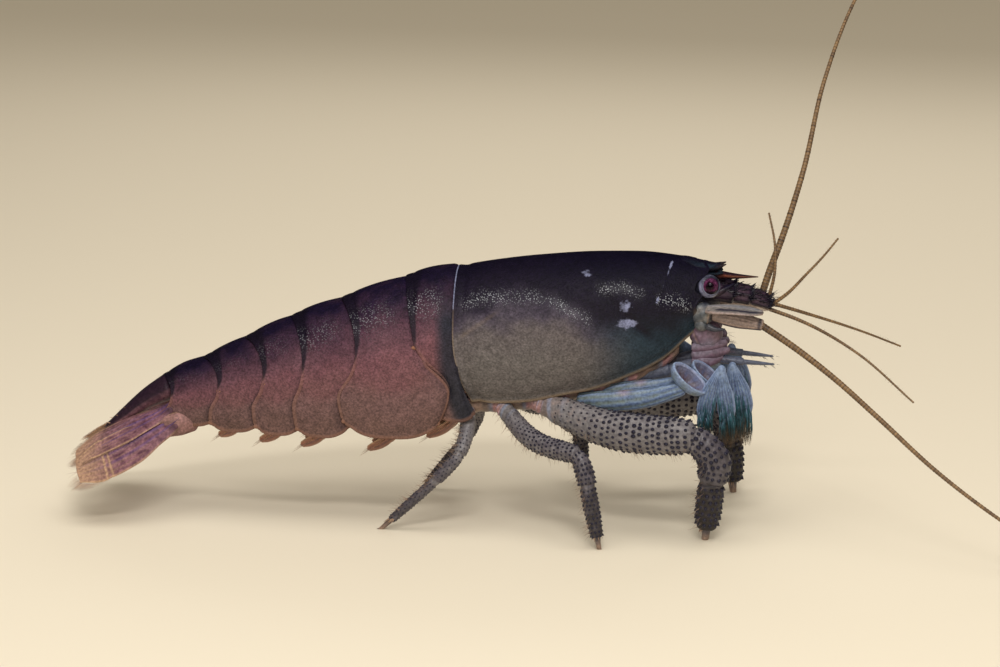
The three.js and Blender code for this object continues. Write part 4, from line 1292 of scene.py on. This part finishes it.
# ---------------------------------------------------------------- walking legs
LEGS = {  # the places of each leg's hip, thigh, knee, shin, ankle and toe
    "leg_3_right": [
        (12.6, -4.8, 19.9), (24.0, -9.8, 17.0), (37.2, -13.5, 17.0), (40.2, -13.3, 13.2),
        (39.8, -12.7, 9.6), (39.0, -11.1, 0),
    ],
    "leg_4_right": [
        (6.8, -4.8, 19.4), (12.4, -10.4, 15.2), (19.4, -15.4, 14.4), (20.5, -16.1, 12.0),
        (21.0, -16.5, 9.9), (22.9, -17.0, 0),
    ],
    "leg_5_right": [
        (1.8, -4.6, 19.0), (2.0, -8.0, 15.8), (1.1, -10.5, 12.7), (-0.7, -10.7, 10.6),
        (-2.6, -10.6, 8.5), (-11.4, -9.4, 0),
    ],
    "leg_3_left": [
        (12.6, 4.8, 19.9), (24.2, 9.8, 16.2), (38.0, 13.2, 15.8), (41.9, 13.7, 12.4),
        (42.9, 13.9, 9.2), (43.6, 14.0, 0),
    ],
    "leg_4_left": [
        (6.8, 4.8, 19.4), (11.2, 10.4, 15.2), (17.2, 15.4, 14.2), (18.0, 16.1, 12.0),
        (18.4, 16.5, 9.8), (19.2, 17.0, 0),
    ],
    "leg_5_left": [
        (1.8, 4.6, 19.0), (2.5, 8.0, 15.2), (1.9, 10.0, 12.0), (0.8, 10.7, 10.0),
        (-0.6, 11.2, 8.0), (-7.0, 12.2, 0),
    ],
}
LEG_SIZES = {
    3: dict(
        merus=[1.5, 2.4, 2.8, 3.0, 2.9, 2.35], carpus=[1.9, 2.3, 2.45, 2.25], hand=[1.7, 1.95, 1.9, 1.45],
        claw=0.62, flatness=0.8, knob=0.33, spacing=1.0, knobs_from=0.14, tones=(0.34, 0.62, 0.95),
    ),
    4: dict(
        merus=[1.2, 1.45, 1.55, 1.55, 1.5, 1.3], carpus=[1.05, 1.3, 1.4, 1.3], hand=[1.05, 1.2, 1.1, 0.9],
        claw=0.42, flatness=0.9, knob=0.22, spacing=0.72, knobs_from=0.16, tones=(0.46, 0.58, 0.78),
    ),
    5: dict(
        merus=[1.0, 1.15, 1.2, 1.15, 1.1, 1.0], carpus=[0.8, 0.98, 0.95], hand=[0.7, 0.78, 0.75, 0.62],
        claw=0.38, flatness=0.9, knob=0.14, spacing=0.66, knobs_from=0.4, tones=(0.36, 0.55, 0.65),
    ),
}


KNOB_SIDES = 8


def add_knobs(form, grid, knob, spacing, start, full, dice):
    """Adds dark pointed knobs in staggered rows over a limb's rings, from the given share of its length."""
    rows, columns = grid.shape[:2]
    normals = normals_of(grid, closed=True)
    axis = grid.mean(axis=1)
    if ((grid - axis[:, None]) * normals).sum() < 0:
        normals = -normals
    lengths = np.concatenate([[0], np.cumsum(np.linalg.norm(np.diff(axis, axis=0), axis=1))])
    count = int(lengths[-1] * (1 - start) / spacing)
    n = KNOB_SIDES
    ring_angle = turn_angles(n)[:, None]
    faces = [(i, (i + 1) % n, n + (i + 1) % n, n + i) for i in range(n)]
    faces += [(n + i, n + (i + 1) % n, 2 * n) for i in range(n)] + [tuple(range(n - 1, -1, -1))]
    for k in range(count):
        along_at = lengths[-1] * start + (k + 0.5) * spacing
        r = int(clip(np.searchsorted(lengths, along_at), 1, rows - 2))
        along = unit(axis[r + 1] - axis[r - 1])
        girth = np.sum(np.linalg.norm(grid[r] - np.roll(grid[r], 1, axis=0), axis=1))
        around_count = max(int(girth / (0.86 * spacing)), 5)
        growing = 1 if full else smoothstep(0.0, 0.5, k / max(count, 1))
        for j in range(around_count):
            c = int(((j + 0.5 * (k % 2)) / around_count + dice.uniform(-0.008, 0.008)) * columns) % columns
            root, out = grid[r, c], normals[r, c]
            first = np.cross(out, along)
            size = knob * dice.uniform(0.8, 1.15) * (0.55 + 0.45 * growing)
            circle = cos(ring_angle) * along * 1.15 + sin(ring_angle) * first
            base = root - out * 0.05 + size * circle
            shoulder_ring = root + out * size * 0.45 + size * (0.62 * circle + 0.25 * along)
            tip = root + out * size * 0.9 + along * size * 0.8
            form.add(
                np.vstack([base, shoulder_ring, tip]), faces, tone=0.7,
                dark=np.array([0.5] * n + [0.9] * n + [1.0]) * (0.6 + 0.4 * growing),
            )


UNDERSIDE = (3.6, 5.8)  # the part of a turn, in radians, that faces down on a leg
LEG_HAIR = 1.1  # length of a leg's bristles
CLAW_SPINES = 16


def add_leg_hairs(form, grid, count, dice):
    """Adds short bristles along a limb's underside."""
    rows, columns = grid.shape[:2]
    axis = grid.mean(axis=1)
    for _ in range(count):
        r = dice.integers(2, rows - 2)
        c = int(dice.uniform(*UNDERSIDE) / (2 * math.pi) * columns) % columns
        root = grid[r, c]
        out = root - axis[r]
        out = out / max(np.linalg.norm(out), 1e-6) + (axis[r + 1] - axis[r - 1]) * 1.5
        out = out + dice.normal(size=3) * 0.25
        tip = root + out * LEG_HAIR * dice.uniform(0.6, 1.1)
        add_hair(form, root, tip, 0.035, steps=2, tone=0.15, rim=0.6)


def leg(name):
    """One walking leg: two short joints at the hip, the thigh, the wrist, and the hand with its claw."""
    hip, thigh, knee, shin, ankle, toe = (np.array(joint, float) for joint in LEGS[name])
    number = int(name[4])
    size = LEG_SIZES[number]
    side = 1 if name.endswith("left") else -1
    dice = np.random.default_rng(number * 3 + side)
    flat, frame_side = size["flatness"], (0.05, 1, 0.05)
    big = size["merus"][1]

    def segment(
        form, points, sizes, base_tone, knobs_from, hairs, steps, hip_end=0.0, blunt=0.32, full=True,
    ):
        high = evenly(sizes)

        def wrinkles(t, a):
            return 0.035 * sin(70 * t + 2 * sin(a)) * smoothstep(0.35, 0.1, t) * big

        grid = add_limb(
            form, points, lambda t: high(t) * flat, high, side=frame_side, sides=56, steps=steps,
            blunt=blunt, relief=wrinkles,
            marks=lambda t, a: dict(
                tone=base_tone + 0.12 * t - 0.22 * smoothstep(0.25, 0, t),
                blue=hip_end * smoothstep(0.2, 1, sin(70 * t + 2 * sin(a))) * smoothstep(0.25, 0.05, t),
                dark=0.4 * near(t, 0.0, 0.03) * (base_tone > 0.5),
            ),
        )
        add_knobs(form, grid, size["knob"] * (1.05 if full else 1), size["spacing"], knobs_from, full, dice)
        add_leg_hairs(form, grid, hairs, dice)

    merus = Form()
    merus_path = [hip, thigh, knee + unit(knee - thigh) * 0.2 * big]
    segment(
        merus, merus_path, size["merus"], size["tones"][0], size["knobs_from"], 90, 120, 0.5,
        blunt=0.75, full=False,
    )
    way = unit(thigh - hip)
    hip_joints = ((hip + (-0.6, -1.0 * side, 1.5), 2.4, 1.1, 0.6), (hip - way * 0.9, 2.8, 0.9, 0.3))
    for start, reach, radius, pink in hip_joints:
        radius *= 0.45 * big + 0.75
        add_limb(
            merus, [start, start + way * reach * 0.5, start + way * reach],
            [radius * 0.85, radius, radius * 1.12], sides=32, steps=40, blunt=0.4,
            relief=lambda t, a: 0.05 * sin(3 * a + 8 * t) + 0.04 * sin(26 * t + a),
            marks=lambda t, a: dict(
                tone=0.15 + 0.15 * sin(3 * a), pink=pink + 0.2 * sin(2 * a),
                blue=0.6 * smoothstep(0.3, 1, sin(26 * t + a)) * smoothstep(0.3, 0.7, t),
            ),
        )
    merus.build(f"{name}_thigh", "limb", "limb", f"{name}_merus")

    carpus = Form()
    onward = unit(knee - thigh)
    bend = knee + (shin - knee) * 0.3 + onward * 0.1 * big
    carpus_path = [knee - onward * 0.35 * big, bend, shin, ankle]
    segment(carpus, carpus_path, size["carpus"], size["tones"][1], 0.04, 20, 80)
    carpus.build(f"{name}_wrist", "limb", "limb", f"{name}_carpus")

    foot = Form()
    reach = toe - ankle
    wrist_end = ankle + reach * 0.82
    start = ankle - unit(reach) * 0.8
    segment(foot, [start, (start + wrist_end) / 2, wrist_end], size["hand"], size["tones"][2], 0.12, 60, 70)
    claw = size["claw"]
    add_limb(
        foot, [wrist_end - reach * 0.08, toe - reach * 0.05, toe + reach * 0.06],
        [claw * 1.4, claw, claw * 0.8], sides=16, steps=24, side=frame_side,
        marks=lambda t, a: dict(tone=0.7, rim=0.5 * smoothstep(0.2, 0.8, t)),
    )
    for _ in range(CLAW_SPINES):
        lean = dice.uniform(0, 2 * math.pi)
        out = np.array([math.cos(lean), math.sin(lean), 0])
        root = wrist_end + out * claw * 1.4 - unit(reach) * 0.6
        tip = root + out * 0.3 + unit(reach) * dice.uniform(0.7, 1.3)
        add_hair(foot, root, tip, 0.1, steps=2, tone=0.3, rim=0.8)
    for points in foot.points:
        np.maximum(points[:, 2], 0, out=points[:, 2])
    foot.build(f"{name}_hand", "limb", "limb", f"{name}_foot")


CHEST_REAR, CHEST_FRONT = 0.6, 34.5


def chest_underside():
    """The soft skin between the legs' bases."""
    form = Form()
    x = linspace(CHEST_REAR, CHEST_FRONT, 120)[:, None]
    angle = turn_angles(60)[None, :]
    t = (x - CHEST_REAR) / (CHEST_FRONT - CHEST_REAR)
    half, deep = 5.8 - 2.4 * t * t, 2.3 - 0.9 * t
    folds = 0.28 * sin(x * 1.2) * abs(cos(angle)) + 0.08 * sin(x * 4.1 + 2 * angle)
    y = (half + folds) * cos(angle)
    z = carapace_edge(x) - 0.9 + (deep + 0.5 * folds) * sin(angle)
    form.add_grid(
        np.stack(np.broadcast_arrays(x, y, z), axis=-1), tone=0.45 + 0.35 * sin(x * 1.2 + 1),
        pink=0.5 * near(sin(x * 1.2), 0.9, 0.3),
        blue=0.3 * near(sin(x * 1.2 + 1.2), 1, 0.1),
    )
    form.build("chest_skin", "skin", "underside", "chest_underside")


# ---------------------------------------------------------------- assembly
carapace()
rostrum()
head()
chest_underside()
for index in range(6):
    ring(index)
for index in range(5):
    swimmerets(index)
telson()
for word, side in SIDES:
    tail_blade(f"tail_fan_inner_{word}", f"tail_blade_inner_{word}", side=side, **INNER_BLADE)
    tail_blade(f"tail_fan_outer_{word}", f"tail_blade_outer_{word}", side=side, **OUTER_BLADE)
    eye(word, side)
    antennule(word, side)
    antenna(word, side)
    antenna_scale(word, side)
    mouthparts(word, side)
    for number in FANS:
        fan(number, word, side)
for name, route in FEELERS.items():
    if name.startswith("antenna_whip"):
        feeler(f"{name}_shaft", name, route, WHIP_THICK[name], **WHIP)
    else:
        feeler(f"{name}_thread", name, route, **THREAD)
for name in LEGS:
    leg(name)


# ---------------------------------------------------------------- camera, light and floor
AZIMUTH, ELEVATION = math.radians(4), math.radians(14)
DISTANCE = 434.0
TARGET = (6.547, 0, 29.358)
LENS, SENSOR_WIDTH = 100, 36
PICTURE = (1000, 667)

scene = bpy.context.scene
camera_data = bpy.data.cameras.new("camera")
camera_data.lens, camera_data.sensor_width = LENS, SENSOR_WIDTH
camera = bpy.data.objects.new("camera", camera_data)
scene.collection.objects.link(camera)
backwards = np.array([
    math.sin(AZIMUTH) * math.cos(ELEVATION), -math.cos(AZIMUTH) * math.cos(ELEVATION), math.sin(ELEVATION),
])
camera.location = place(np.array(TARGET) + backwards * DISTANCE)
camera.rotation_euler = Vector(-backwards).to_track_quat("-Z", "Y").to_euler()
scene.camera = camera
scene.render.resolution_x, scene.render.resolution_y = PICTURE


MIDDLE = (0, 0, 30)
LAMP_COLOR = (1.0, 0.98, 0.95)


def softbox(name, position, size, watts):
    """A rectangular lamp that faces the middle of the body."""
    data = bpy.data.lights.new(name, "AREA")
    data.shape, data.size, data.size_y = "RECTANGLE", size[0] * MM, size[1] * MM
    data.energy, data.color = watts, LAMP_COLOR
    lamp = bpy.data.objects.new(name, data)
    scene.collection.objects.link(lamp)
    lamp.location = place(position)
    direction = Vector(place(MIDDLE)) - Vector(place(position))
    lamp.rotation_euler = direction.to_track_quat("-Z", "Y").to_euler()
    return lamp


softbox("key", (34, -298, 368), (150, 50), 0.65)
softbox("low key", (50, -345, 270), (120, 40), 0.35)
for name, position, size, watts in (
    ("top", (0, -60, 430), (420, 260), 0.9), ("front", (-120, -430, 120), (400, 200), 0.35),
    ("behind", (80, 380, 260), (500, 200), 0.4),
):
    softbox(name, position, size, watts).visible_glossy = False

FLOOR = 3  # half the floor's width, in metres
floor_mesh = bpy.data.meshes.new("floor")
corners = [(-FLOOR, -FLOOR, 0), (FLOOR, -FLOOR, 0), (FLOOR, FLOOR, 0), (-FLOOR, FLOOR, 0)]
floor_mesh.from_pydata(corners, [], [(0, 1, 2, 3)])
floor = bpy.data.objects.new("floor", floor_mesh)
scene.collection.objects.link(floor)
floor_look = Look("floor", roughness=0.7)
floor_look.color(srgb(222, 212, 192))
floor_mesh.materials.append(floor_look.material)

world = bpy.data.worlds.new("world")
world.use_nodes = True
world.node_tree.nodes["Background"].inputs["Color"].default_value = srgb(226, 216, 198)
world.node_tree.nodes["Background"].inputs["Strength"].default_value = 0.6
world.cycles_visibility.glossy = False
scene.world = world
scene.view_settings.view_transform = "Standard"
